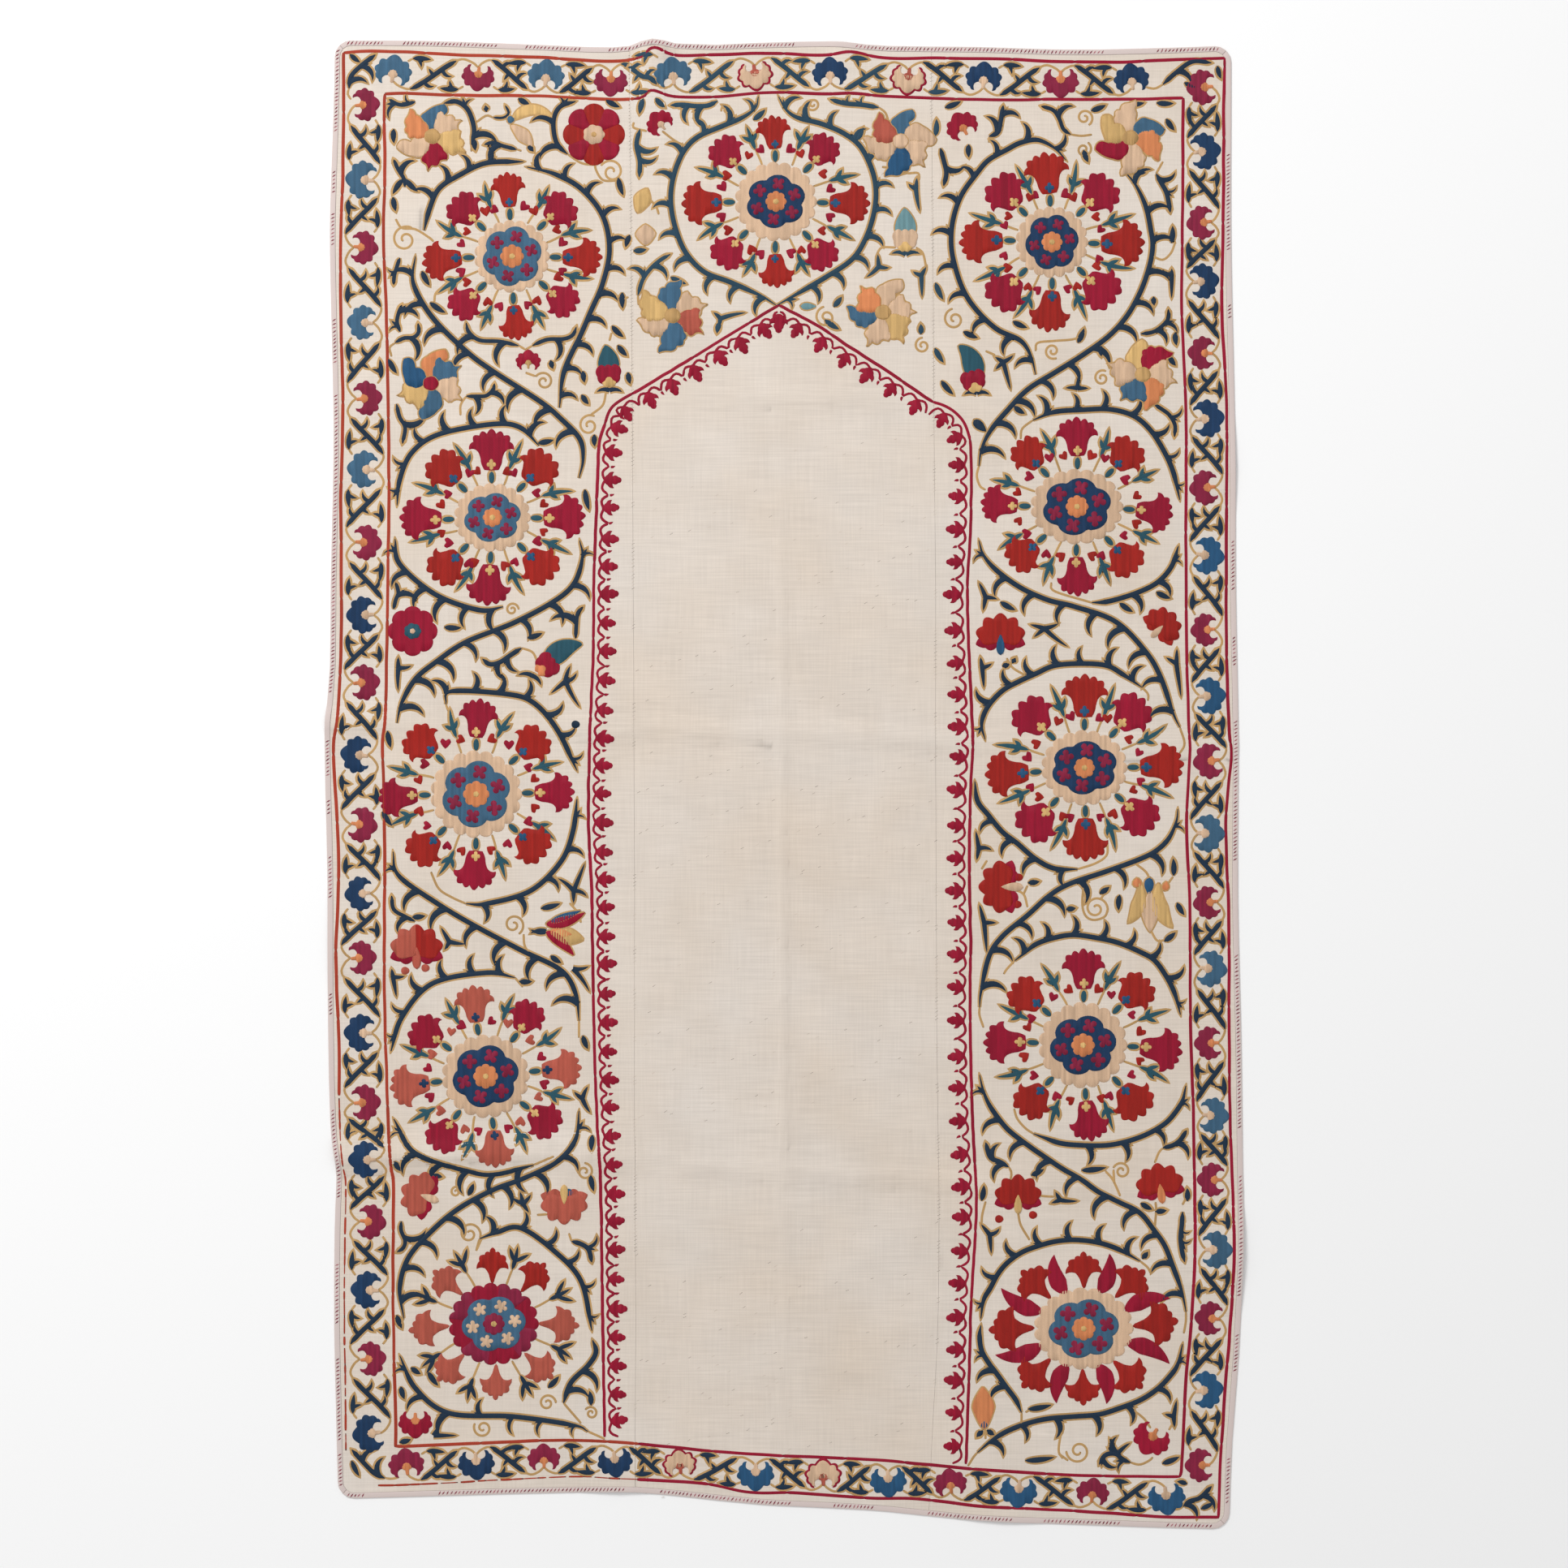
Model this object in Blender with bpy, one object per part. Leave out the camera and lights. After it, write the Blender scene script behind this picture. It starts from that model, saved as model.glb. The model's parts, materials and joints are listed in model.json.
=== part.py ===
"""A suzani, an embroidered cloth with an arched niche in its middle, lying face up on a level surface.

Three loom widths of hand-woven cotton are sewn edge to edge, and a narrow braid is sewn on round them.
The cloth is uneven, as hand-woven cloth is, and it keeps the soft folds that it was stored in.

Everything is worked out on the cloth as it was cut, a rectangle, and then drawn out to its uneven outline.
Metres, +Z up. +X runs across the cloth, +Y along it to the niche's point, and the origin is under its middle.
"""

import bmesh
import bpy

MM = 0.001

# The cloth as it was cut and sewn, before it was laid down.
CLOTH_WIDTH = 1338 * MM
CLOTH_LENGTH = 2165 * MM
CLOTH_THICKNESS = 1.6 * MM
SEAM_X = 224 * MM
SEAM_GAP = 0.3 * MM

# The braid that is sewn on round the edge, in one strip for each side.
BRAID_WIDTH = 8 * MM
BRAID_THICKNESS = 2.2 * MM
BRAID_GAP = 0.3 * MM
BRAID_END_GAP = 0.3 * MM

# The three widths, inside the braid.
PANELS_HALF_WIDTH = CLOTH_WIDTH / 2 - BRAID_WIDTH - BRAID_GAP
PANELS_HALF_LENGTH = CLOTH_LENGTH / 2 - BRAID_WIDTH - BRAID_GAP
CORNER_RADIUS = 16 * MM
CORNER_STEPS = (0.0, 0.5, 1.0)

# The folds are followed by rows and columns of the mesh: these, and one row or column every GRID_STEP.
GRID_STEP = 62 * MM
FOLD_STEPS = (-1.0, -0.5, 0.0, 0.5, 1.0)
LEAST_STEP = 5 * MM

# Edges that turn more sharply than this stay sharp, and the rest of the cloth is shaded smooth. Radians.
EDGE_ANGLE = 0.7

# How far the sides and the seams stray from straight, to the right, at places along the cloth. Millimetres.
SIDE_DRIFT = [
    {"y": 1082, "left": 5, "left_seam": -4, "right_seam": -6, "right": -8},
    {"y": 1013, "left": 4, "left_seam": -4, "right_seam": -6, "right": -8},
    {"y": 793, "left": -2, "left_seam": -2, "right_seam": -4, "right": -8},
    {"y": 500, "left": 3, "left_seam": 0, "right_seam": -2, "right": -2},
    {"y": 281, "left": -1, "left_seam": 1, "right_seam": 0, "right": -1},
    {"y": 130, "left": -3, "left_seam": 2, "right_seam": 0, "right": 2},
    {"y": 62, "left": -10, "left_seam": 2, "right_seam": 0, "right": 3},
    {"y": -158, "left": -6, "left_seam": 3, "right_seam": 1, "right": 2},
    {"y": -377, "left": -5, "left_seam": 3, "right_seam": 2, "right": 7},
    {"y": -536, "left": -1, "left_seam": 3, "right_seam": 4, "right": 9},
    {"y": -597, "left": 7, "left_seam": 4, "right_seam": 5, "right": 10},
    {"y": -670, "left": 5, "left_seam": 4, "right_seam": 5, "right": 10},
    {"y": -817, "left": 4, "left_seam": 5, "right_seam": 3, "right": 4},
    {"y": -963, "left": 7, "left_seam": 4, "right_seam": -5, "right": -7},
    {"y": -1082, "left": 10, "left_seam": 4, "right_seam": -10, "right": -11},
]

# How far the two ends stray from straight, towards the niche's point, at places across the cloth. Millimetres.
END_DRIFT = [
    {"x": -669, "top": 17, "bottom": 26},
    {"x": -522, "top": 16, "bottom": 30},
    {"x": -378, "top": 11, "bottom": 34},
    {"x": -234, "top": 7, "bottom": 36},
    {"x": -192, "top": 18, "bottom": 33},
    {"x": -138, "top": 10, "bottom": 28},
    {"x": -42, "top": 13, "bottom": 18},
    {"x": 78, "top": 15, "bottom": 12},
    {"x": 150, "top": 9, "bottom": 8},
    {"x": 294, "top": 7, "bottom": -6},
    {"x": 438, "top": 3, "bottom": -12},
    {"x": 582, "top": 6, "bottom": -17},
    {"x": 669, "top": 9, "bottom": -19},
]

# The folds, which lift the cloth off the surface: a ridge's middle, which way it runs, half its length
# and half its breadth. A ridge across the cloth runs along "x", and one down the cloth along "y". Millimetres.
FOLDS = [
    {"name": "lower_fold_left", "x": -560, "y": -573, "along": "x", "reach": 430, "spread": 30, "height": 9.0},
    {"name": "lower_fold_right", "x": 150, "y": -590, "along": "x", "reach": 700, "spread": 20, "height": 3.0},
    {"name": "middle_fold", "x": 0, "y": 60, "along": "x", "reach": 900, "spread": 20, "height": 2.8},
    {"name": "middle_fold_left", "x": -690, "y": 72, "along": "x", "reach": 220, "spread": 26, "height": 4.5},
    {"name": "centre_crease", "x": -4, "y": -200, "along": "y", "reach": 980, "spread": 13, "height": 2.2},
    {"name": "seam_pucker", "x": -190, "y": 1110, "along": "y", "reach": 190, "spread": 34, "height": 9.0},
    {"name": "top_ripple", "x": 92, "y": 1110, "along": "y", "reach": 150, "spread": 34, "height": 4.0},
    {"name": "upper_crease", "x": 20, "y": 556, "along": "x", "reach": 240, "spread": 18, "height": 2.0},
    {"name": "left_wave_upper", "x": -700, "y": 800, "along": "x", "reach": 160, "spread": 80, "height": 4.0},
    {"name": "left_wave_lower", "x": -700, "y": -260, "along": "x", "reach": 180, "spread": 90, "height": 4.0},
    {"name": "right_wave_upper", "x": 700, "y": 470, "along": "x", "reach": 160, "spread": 80, "height": 4.0},
    {"name": "right_wave_lower", "x": 705, "y": -680, "along": "x", "reach": 240, "spread": 90, "height": 7.0},
    {"name": "bottom_wave_left", "x": -250, "y": -1110, "along": "y", "reach": 150, "spread": 60, "height": 4.0},
    {"name": "bottom_wave_right", "x": 330, "y": -1110, "along": "y", "reach": 140, "spread": 70, "height": 3.5},
]

# Colour, roughness and metallic value of each kind of piece.
COTTON = {"name": "cotton", "colour": (0.73, 0.66, 0.58), "roughness": 0.9, "metallic": 0.0}
BRAID = {"name": "edging_braid", "colour": (0.66, 0.46, 0.46), "roughness": 0.85, "metallic": 0.0}


def read_table(table, key, place, column):
    """A column's value at a place along the table, on a smooth curve through its rows, in metres."""
    rows = sorted(table, key=lambda row: row[key])
    at = min(max(place / MM, rows[0][key]), rows[-1][key])
    after = next(i for i in range(1, len(rows)) if at <= rows[i][key])

    def slope(i):
        low, high = rows[max(i - 1, 0)], rows[min(i + 1, len(rows) - 1)]
        return (high[column] - low[column]) / (high[key] - low[key])

    start, end = rows[after - 1], rows[after]
    span = end[key] - start[key]
    t = (at - start[key]) / span
    value = (
        (2 * t**3 - 3 * t**2 + 1) * start[column]
        + (t**3 - 2 * t**2 + t) * span * slope(after - 1)
        + (3 * t**2 - 2 * t**3) * end[column]
        + (t**3 - t**2) * span * slope(after)
    )
    return value * MM


def laid(x, y):
    """Where a point of the cut cloth lies, once the cloth has its uneven outline."""
    lines = [
        (-CLOTH_WIDTH / 2, "left"),
        (-SEAM_X, "left_seam"),
        (SEAM_X, "right_seam"),
        (CLOTH_WIDTH / 2, "right"),
    ]
    before = max(i for i in range(3) if i == 0 or x >= lines[i][0])
    (low_x, low_name), (high_x, high_name) = lines[before], lines[before + 1]
    share = min(max((x - low_x) / (high_x - low_x), 0.0), 1.0)
    low_drift = read_table(SIDE_DRIFT, "y", y, low_name)
    high_drift = read_table(SIDE_DRIFT, "y", y, high_name)
    up = y / CLOTH_LENGTH + 0.5
    top_drift = read_table(END_DRIFT, "x", x, "top")
    bottom_drift = read_table(END_DRIFT, "x", x, "bottom")
    return (
        x + low_drift + (high_drift - low_drift) * share,
        y + bottom_drift + (top_drift - bottom_drift) * up,
    )


def lift(x, y):
    """How high the folds carry the cloth's underside at a point of the cut cloth. It is 0 where it lies flat."""
    total = 0.0
    for fold in FOLDS:
        along, across = (x, y) if fold["along"] == "x" else (y, x)
        middle, line = (fold["x"], fold["y"]) if fold["along"] == "x" else (fold["y"], fold["x"])
        reach = (along - middle * MM) / (fold["reach"] * MM)
        spread = (across - line * MM) / (fold["spread"] * MM)
        if abs(reach) < 1 and abs(spread) < 1:
            total += fold["height"] * MM * (1 - reach**2) ** 2 * (1 - spread**2) ** 2
    return total


def rounded(x, y):
    """A point of the three widths, drawn in where it lies in one of their rounded corners."""
    middle_x = PANELS_HALF_WIDTH - CORNER_RADIUS
    middle_y = PANELS_HALF_LENGTH - CORNER_RADIUS
    out_x = (abs(x) - middle_x) / CORNER_RADIUS
    out_y = (abs(y) - middle_y) / CORNER_RADIUS
    if out_x <= 0 or out_y <= 0:
        return x, y
    side_x, side_y = (1 if x > 0 else -1), (1 if y > 0 else -1)
    return (
        side_x * (middle_x + CORNER_RADIUS * out_x * (1 - out_y**2 / 2) ** 0.5),
        side_y * (middle_y + CORNER_RADIUS * out_y * (1 - out_x**2 / 2) ** 0.5),
    )


def lines_between(low, high, direction):
    """The places of the mesh's lines from low to high: even steps, with more at corners and folds.

    Rows cross the folds that run along x, and columns cross those that run along y.
    """
    half = PANELS_HALF_LENGTH if direction == "rows" else PANELS_HALF_WIDTH
    wanted = [low, high]
    for side in (-1, 1):
        wanted += [side * (half - CORNER_RADIUS * (1 - step)) for step in CORNER_STEPS]
    for fold in FOLDS:
        if direction == "rows" and fold["along"] == "x":
            wanted += [(fold["y"] + step * fold["spread"]) * MM for step in FOLD_STEPS]
        if direction == "columns" and fold["along"] == "y":
            wanted += [(fold["x"] + step * fold["spread"]) * MM for step in FOLD_STEPS]
    steps = round((high - low) / GRID_STEP)
    wanted += [low + (high - low) * i / steps for i in range(1, steps)]

    fixed = 2 + 2 * len(CORNER_STEPS)
    kept = sorted({place for place in wanted[:fixed] if low <= place <= high})
    for place in wanted[fixed:]:
        if low < place < high and all(abs(place - other) > LEAST_STEP for other in kept):
            kept.append(place)
    return sorted(kept)


ROWS = lines_between(-PANELS_HALF_LENGTH, PANELS_HALF_LENGTH, "rows")


def make_material(look):
    material = bpy.data.materials.new(look["name"])
    material.use_nodes = True
    shader = material.node_tree.nodes["Principled BSDF"]
    shader.inputs["Base Color"].default_value = (*look["colour"], 1.0)
    shader.inputs["Roughness"].default_value = look["roughness"]
    shader.inputs["Metallic"].default_value = look["metallic"]
    return material


def make_sheet(name, grid, thickness, material):
    """A closed sheet from rows of cut-cloth points: laid out, lifted by the folds and given its thickness."""
    rows, columns = len(grid), len(grid[0])
    bm = bmesh.new()
    bmesh.ops.create_grid(bm, x_segments=columns - 1, y_segments=rows - 1, size=1.0)
    for vertex in bm.verts:
        column = round((vertex.co.x + 1) / 2 * (columns - 1))
        row = round((vertex.co.y + 1) / 2 * (rows - 1))
        x, y = grid[row][column]
        vertex.co = (*laid(x, y), lift(x, y))

    raised = bmesh.ops.extrude_face_region(bm, geom=bm.faces[:])
    top = [item for item in raised["geom"] if isinstance(item, bmesh.types.BMVert)]
    bmesh.ops.translate(bm, verts=top, vec=(0.0, 0.0, thickness))
    bmesh.ops.recalc_face_normals(bm, faces=bm.faces[:])

    mesh = bpy.data.meshes.new(name)
    bm.to_mesh(mesh)
    bm.free()
    mesh.shade_smooth()
    mesh.set_sharp_from_angle(angle=EDGE_ANGLE)
    mesh.materials.append(material)
    sheet = bpy.data.objects.new(name, mesh)
    bpy.context.scene.collection.objects.link(sheet)
    return sheet


def make_panel(name, low_x, high_x, material):
    """One loom width of the cloth, from one side or seam to the next."""
    columns = lines_between(low_x, high_x, "columns")
    grid = [[rounded(x, y) for x in columns] for y in ROWS]
    return make_sheet(name, grid, CLOTH_THICKNESS, material)


def outward(x, y):
    """The direction out of the rounded rectangle of the three widths, at a point of its edge."""
    middle_x = PANELS_HALF_WIDTH - CORNER_RADIUS
    middle_y = PANELS_HALF_LENGTH - CORNER_RADIUS
    out_x, out_y = max(abs(x) - middle_x, 0.0), max(abs(y) - middle_y, 0.0)
    size = (out_x**2 + out_y**2) ** 0.5
    return (out_x / size * (1 if x > 0 else -1), out_y / size * (1 if y > 0 else -1))


def make_braid(name, edge, material):
    """A strip of braid along one side's edge points, ending just short of its neighbours at the corners."""
    grid = []
    for x, y in edge:
        away_x, away_y = outward(x, y)
        near, far = BRAID_GAP, BRAID_GAP + BRAID_WIDTH
        grid.append([(x + away_x * near, y + away_y * near), (x + away_x * far, y + away_y * far)])
    for end, inside in ((0, 1), (-1, -2)):
        for side in (0, 1):
            (x, y), (inner_x, inner_y) = grid[end][side], grid[inside][side]
            length = ((inner_x - x) ** 2 + (inner_y - y) ** 2) ** 0.5
            share = BRAID_END_GAP / 2 / length
            grid[end][side] = (x + (inner_x - x) * share, y + (inner_y - y) * share)
    return make_sheet(name, grid, BRAID_THICKNESS, material)


def make_suzani():
    for old in list(bpy.data.objects):
        bpy.data.objects.remove(old)
    cotton = make_material(COTTON)
    braid = make_material(BRAID)

    left, right = -PANELS_HALF_WIDTH, PANELS_HALF_WIDTH
    half_gap = SEAM_GAP / 2
    panels = {
        "panel_left": (left, -SEAM_X - half_gap),
        "panel_centre": (-SEAM_X + half_gap, SEAM_X - half_gap),
        "panel_right": (SEAM_X + half_gap, right),
    }
    across = []
    for name, (low_x, high_x) in panels.items():
        make_panel(name, low_x, high_x, cotton)
        across += lines_between(low_x, high_x, "columns")

    make_braid("braid_left", [rounded(left, y) for y in ROWS], braid)
    make_braid("braid_right", [rounded(right, y) for y in ROWS], braid)
    make_braid("braid_top", [rounded(x, PANELS_HALF_LENGTH) for x in across], braid)
    make_braid("braid_bottom", [rounded(x, -PANELS_HALF_LENGTH) for x in across], braid)


make_suzani()
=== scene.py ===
"""Dresses the suzani: its woven cotton, its sewn seams and braid, and its silk embroidery.

The cloth lies face up. Places on it are in millimetres from its middle: x to the right, and y to the
point of the niche. Heights are in metres.
Each piece of silk work is real thread relief that lies on the cloth, folds and all.
"""

import json
import math
import random
from collections import namedtuple

import bmesh
import bpy
import numpy as np
from bpy.props import FloatProperty, FloatVectorProperty, IntProperty, PointerProperty
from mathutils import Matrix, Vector, noise
from mathutils.bvhtree import BVHTree

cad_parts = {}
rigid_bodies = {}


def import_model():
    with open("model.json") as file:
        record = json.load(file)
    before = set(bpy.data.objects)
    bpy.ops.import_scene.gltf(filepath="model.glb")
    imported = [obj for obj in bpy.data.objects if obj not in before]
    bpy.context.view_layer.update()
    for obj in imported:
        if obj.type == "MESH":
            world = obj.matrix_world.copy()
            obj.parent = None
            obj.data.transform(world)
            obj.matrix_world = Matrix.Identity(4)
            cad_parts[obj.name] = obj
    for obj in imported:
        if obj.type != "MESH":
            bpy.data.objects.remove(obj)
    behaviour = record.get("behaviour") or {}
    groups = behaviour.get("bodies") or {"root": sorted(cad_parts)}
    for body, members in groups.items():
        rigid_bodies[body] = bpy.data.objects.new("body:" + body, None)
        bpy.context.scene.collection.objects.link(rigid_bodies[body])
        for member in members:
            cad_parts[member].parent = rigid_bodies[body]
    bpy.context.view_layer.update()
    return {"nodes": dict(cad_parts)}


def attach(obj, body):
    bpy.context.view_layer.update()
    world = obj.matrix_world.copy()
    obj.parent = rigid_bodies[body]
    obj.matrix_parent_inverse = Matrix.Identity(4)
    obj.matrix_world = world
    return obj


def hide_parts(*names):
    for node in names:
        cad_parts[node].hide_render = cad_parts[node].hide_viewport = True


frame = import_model()

bl_info = {
    "name": "Suzani embroidered cloth",
    "version": (1, 0, 0),
    "blender": (4, 5, 0),
    "location": "View3D > Sidebar > Suzani",
    "description": "Weaves, sews and embroiders a suzani over its plain solids",
    "category": "Object",
}

MM = 0.001
WIDTHS = [
    {"name": "cloth_left", "node": "panel_left", "wide": 436.5, "long": 2148.4},
    {"name": "cloth_centre", "node": "panel_centre", "wide": 447.7, "long": 2148.4},
    {"name": "cloth_right", "node": "panel_right", "wide": 436.5, "long": 2148.4},
]
SIDES = {
    "left": {"node": "braid_left", "along": 1, "out": -1},
    "right": {"node": "braid_right", "along": 1, "out": 1},
    "top": {"node": "braid_top", "along": 0, "out": 1},
    "bottom": {"node": "braid_bottom", "along": 0, "out": -1},
}

# Widths of stitched lines in millimetres, then heights of thread over the cotton.
LEAF_WIDTH = 9.8
GOLD_STEM = 4.0
BORDER_LINE = 5.0
NICHE_LINE = 5.0
SCALLOP_LINE = 4.2
RIM_LINE = 3.8
STITCH_RISE = 0.5 * MM
GOLD_RISE = 0.45 * MM
EDGING_RISE = 0.22 * MM
RIM_RISE = 0.7 * MM

# How far a patch's rim goes into the cotton, how far its underside lies below a fold's face, how much
# the cotton bends where it counts as folded, and how many cross cuts are over a fold for one elsewhere.
SUNK = 0.05 * MM
LINING = 0.2 * MM
FOLD = 0.2 * MM
FOLD_CUTS = 3

# How far from the middle the pieces over the niche end, in millimetres.
PART_ENDS = 228


def dye(red, green, blue):
    """A colour as a printed value of 0 to 255 a channel, made linear for the shaders."""

    def linear(value):
        value /= 255
        return value / 12.92 if value <= 0.04045 else ((value + 0.055) / 1.055) ** 2.4

    return linear(red), linear(green), linear(blue)


def colour(name, description, default):
    return FloatVectorProperty(
        name=name, description=description, subtype="COLOR", min=0, max=1, default=dye(*default)
    )


def length(name, description, default):
    return FloatProperty(name=name, description=description, default=default * MM, unit="LENGTH", precision=5)


class ClothSizes(bpy.types.PropertyGroup):
    """Sizes of the cotton cloth, its seams and its braid."""

    thickness: length("Cloth", "Thickness of the cotton with its silk", 1.6)
    cell: length("Cell", "Spacing of the cloth's mesh", 13.0)
    braid_thickness: length("Braid", "Thickness of the edging braid", 2.2)
    braid_stitch: length("Braid stitch", "Spacing of the slanted stitches along the braid", 5.6)
    seam_stitch: length("Seam stitch", "Spacing of the stitches that close a seam", 5.5)
    thread: length("Thread", "Spacing of the cotton's threads", 0.9)
    cotton: colour("Cotton", "Undyed hand-woven cotton", (223, 213, 203))
    stain: colour("Stain", "Old faint stains in the cotton", (216, 197, 176))
    braid: colour("Braid ground", "Ground colour of the braid", (214, 198, 193))


class StitchSizes(bpy.types.PropertyGroup):
    """Sizes of the embroidery's threads."""

    ridge: length("Ridge", "Spacing of the laid ridges in couched work", 3.6)
    row: length("Row", "Spacing of the cross cuts in couched work", 15.0)
    rise: length("Rise", "Height of couched work over the cloth", 0.95)
    rim: length("Rim", "Width of the sloping rim of couched work", 0.6)
    layer: length("Layer", "Height of each layer of couched work over the one below", 0.32)
    chain_rise: length("Chain rise", "Height of a line of chain stitch", 0.8)
    outline: length("Outline", "Width of the gold line beside a stem or leaf", 2.2)
    step: length("Step", "Spacing of the points along a line of chain stitch", 4.0)


class SilkColours(bpy.types.PropertyGroup):
    """The dyes of the embroidery silk."""

    crimson: colour("Crimson", "Cochineal crimson", (146, 12, 44))
    magenta: colour("Magenta", "Purplish cochineal of the border's flowers", (132, 30, 60))
    brick: colour("Brick", "Madder red", (154, 30, 22))
    salmon: colour("Salmon", "Faded madder", (174, 84, 68))
    orange: colour("Orange", "Orange of the flower hearts", (206, 128, 82))
    tan: colour("Tan", "Tan of the scalloped rings", (207, 174, 144))
    mustard: colour("Mustard", "Weld yellow", (208, 170, 110))
    gold: colour("Gold", "Golden brown of the thin stems and outlines", (186, 148, 96))
    navy: colour("Navy", "Deep indigo of the stems", (26, 46, 66))
    slate: colour("Slate", "Paler indigo of the stems at the top", (38, 66, 84))
    indigo: colour("Indigo", "Indigo of the rosettes", (24, 54, 88))
    sky: colour("Sky", "Pale indigo", (61, 96, 122))
    azure: colour("Azure", "Bright blue of the small accents", (36, 80, 116))
    teal: colour("Teal", "Blue-green of the leaf sprigs", (38, 80, 94))
    sage: colour("Sage", "Pale blue-green of the pointed buds", (104, 140, 146))
    thread: colour("Sewing thread", "Undyed sewing thread", (206, 192, 178))
    faded_rose: colour("Faded rose", "Faded red of the braid's stitches", (172, 112, 118))
    dark_rose: colour("Dark rose", "Dark red of the braid's stitches", (136, 58, 72))
    line_red: colour("Line red", "Red of the border lines on the left width", (164, 58, 38))


class StageSizes(bpy.types.PropertyGroup):
    """Sizes of the floor, the lights and the camera."""

    floor: FloatProperty(name="Floor", description="Width of the floor", default=24.0, unit="LENGTH")
    view_width: FloatProperty(
        name="View", description="Width of floor that is seen", default=2.3184, unit="LENGTH"
    )
    lens: FloatProperty(name="Lens", description="Focal length in millimetres", default=100.0)
    lamp: FloatProperty(name="Lamp", description="Power of the large soft lamp in watts", default=230.0)
    lamp_size: FloatProperty(name="Lamp size", description="Width of the lamp", default=2.6, unit="LENGTH")
    sky: FloatProperty(name="Sky", description="Strength of the light from all round", default=0.62)


class SuzaniSettings(bpy.types.PropertyGroup):
    """Everything that a user of the suzani would change."""

    cloth: PointerProperty(type=ClothSizes)
    stitch: PointerProperty(type=StitchSizes)
    silk: PointerProperty(type=SilkColours)
    stage: PointerProperty(type=StageSizes)
    seed: IntProperty(name="Seed", description="Start of the hand-made unevenness", default=7)


def settings():
    return bpy.context.scene.suzani


def records(kind, values):
    """A table's rows, with the columns that its kind names."""
    return [kind(*row) for row in values]


# The cloth's outline and surface, read from the frame.


def side_line(name):
    """One side of the cloth: places along it and how far the cloth reaches there. Millimetres."""
    side = SIDES[name]
    points = np.array([vertex.co for vertex in frame["nodes"][side["node"]].data.vertices]) / MM
    along, across = points[:, side["along"]], points[:, 1 - side["along"]]
    places = np.unique(np.round(along / 8) * 8)
    reach = [side["out"] * (side["out"] * across[abs(along - place) < 9]).max() for place in places]
    return places, np.array(reach)


EDGE = {name: side_line(name) for name in SIDES}


def edge(name, along):
    """How far the cloth reaches on one side, at places along it. Millimetres."""
    return np.interp(along, *EDGE[name])


def seam_line(sign):
    """A seam: heights along it and its place across the cloth. Millimetres."""
    points = np.array([vertex.co for vertex in frame["nodes"]["panel_centre"].data.vertices]) / MM
    places = np.unique(np.round(points[:, 1] / 12) * 12)
    return places, np.array([sign * (sign * points[abs(points[:, 1] - y) < 14, 0]).max() for y in places])


SEAM = {"left": seam_line(-1), "right": seam_line(1)}


def cloth_tree():
    """The finished cloth's surface, for finding its height under a stitch."""
    whole = bmesh.new()
    for row in WIDTHS:
        whole.from_mesh(bpy.data.objects[row["name"]].data)
    tree = BVHTree.FromBMesh(whole)
    whole.free()
    return tree


def height(tree, x, y):
    """Height of the cloth's face at a place, all in metres."""
    hit = tree.ray_cast(Vector((x, y, 1.0)), Vector((0, 0, -1)))[0]
    if hit is None:
        hit = tree.find_nearest(Vector((x, y, 2 * MM)))[0]
    return hit.z


# Lines and outlines, as rows of x and y in millimetres.


def evenly(line, step=None):
    """A line's points spread out evenly."""
    step = step or settings().stitch.step / MM
    line = np.asarray(line, float)
    run = np.concatenate([[0], np.cumsum(np.hypot(*np.diff(line, axis=0).T))])
    count = max(3, round(run[-1] / step) + 1)
    at = np.linspace(0, run[-1], count)
    return np.column_stack([np.interp(at, run, line[:, k]) for k in (0, 1)])


def through(points, step=None):
    """A smooth line through a few points."""
    knots = np.asarray(points, float)
    knots = np.vstack([2 * knots[0] - knots[1], knots, 2 * knots[-1] - knots[-2]])
    t = np.linspace(0, 1, 16, endpoint=False)[:, None]
    line = [
        (2 * b + (c - a) * t + (2 * a - 5 * b + 4 * c - d) * t**2 + (3 * b - a - 3 * c + d) * t**3) / 2
        for a, b, c, d in zip(knots, knots[1:], knots[2:], knots[3:])
    ]
    return evenly(np.vstack([*line, knots[-2:-1]]), step)


def sideways(line):
    """Unit directions to the left of travel along a line."""
    along = np.gradient(line, axis=0)
    along /= np.maximum(np.hypot(*along.T), 1e-9)[:, None]
    return np.column_stack([-along[:, 1], along[:, 0]])


def hooked(x, y, heading, span, bend, step=None):
    """A line that starts at a place with a heading and turns steadily by a bend, both in degrees."""
    t = np.linspace(0, 1, 14)
    turn = np.radians(heading + bend * t)
    steps = np.column_stack([np.cos(turn), np.sin(turn)])[:-1] * span / 13
    return evenly(np.vstack([[(x, y)], (x, y) + np.cumsum(steps, axis=0)]), step)


def onward(x, y, heading, reach):
    """The place that lies a reach away from another at a heading in degrees."""
    angle = math.radians(heading)
    return x + reach * math.cos(angle), y + reach * math.sin(angle)


def placed(outline, x, y, turn=0.0, size=1.0):
    """An outline scaled, turned by degrees and moved to a place."""
    angle = math.radians(turn)
    spin = np.array([[math.cos(angle), math.sin(angle)], [-math.sin(angle), math.cos(angle)]])
    return np.asarray(outline, float) * size @ spin + (x, y)


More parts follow.
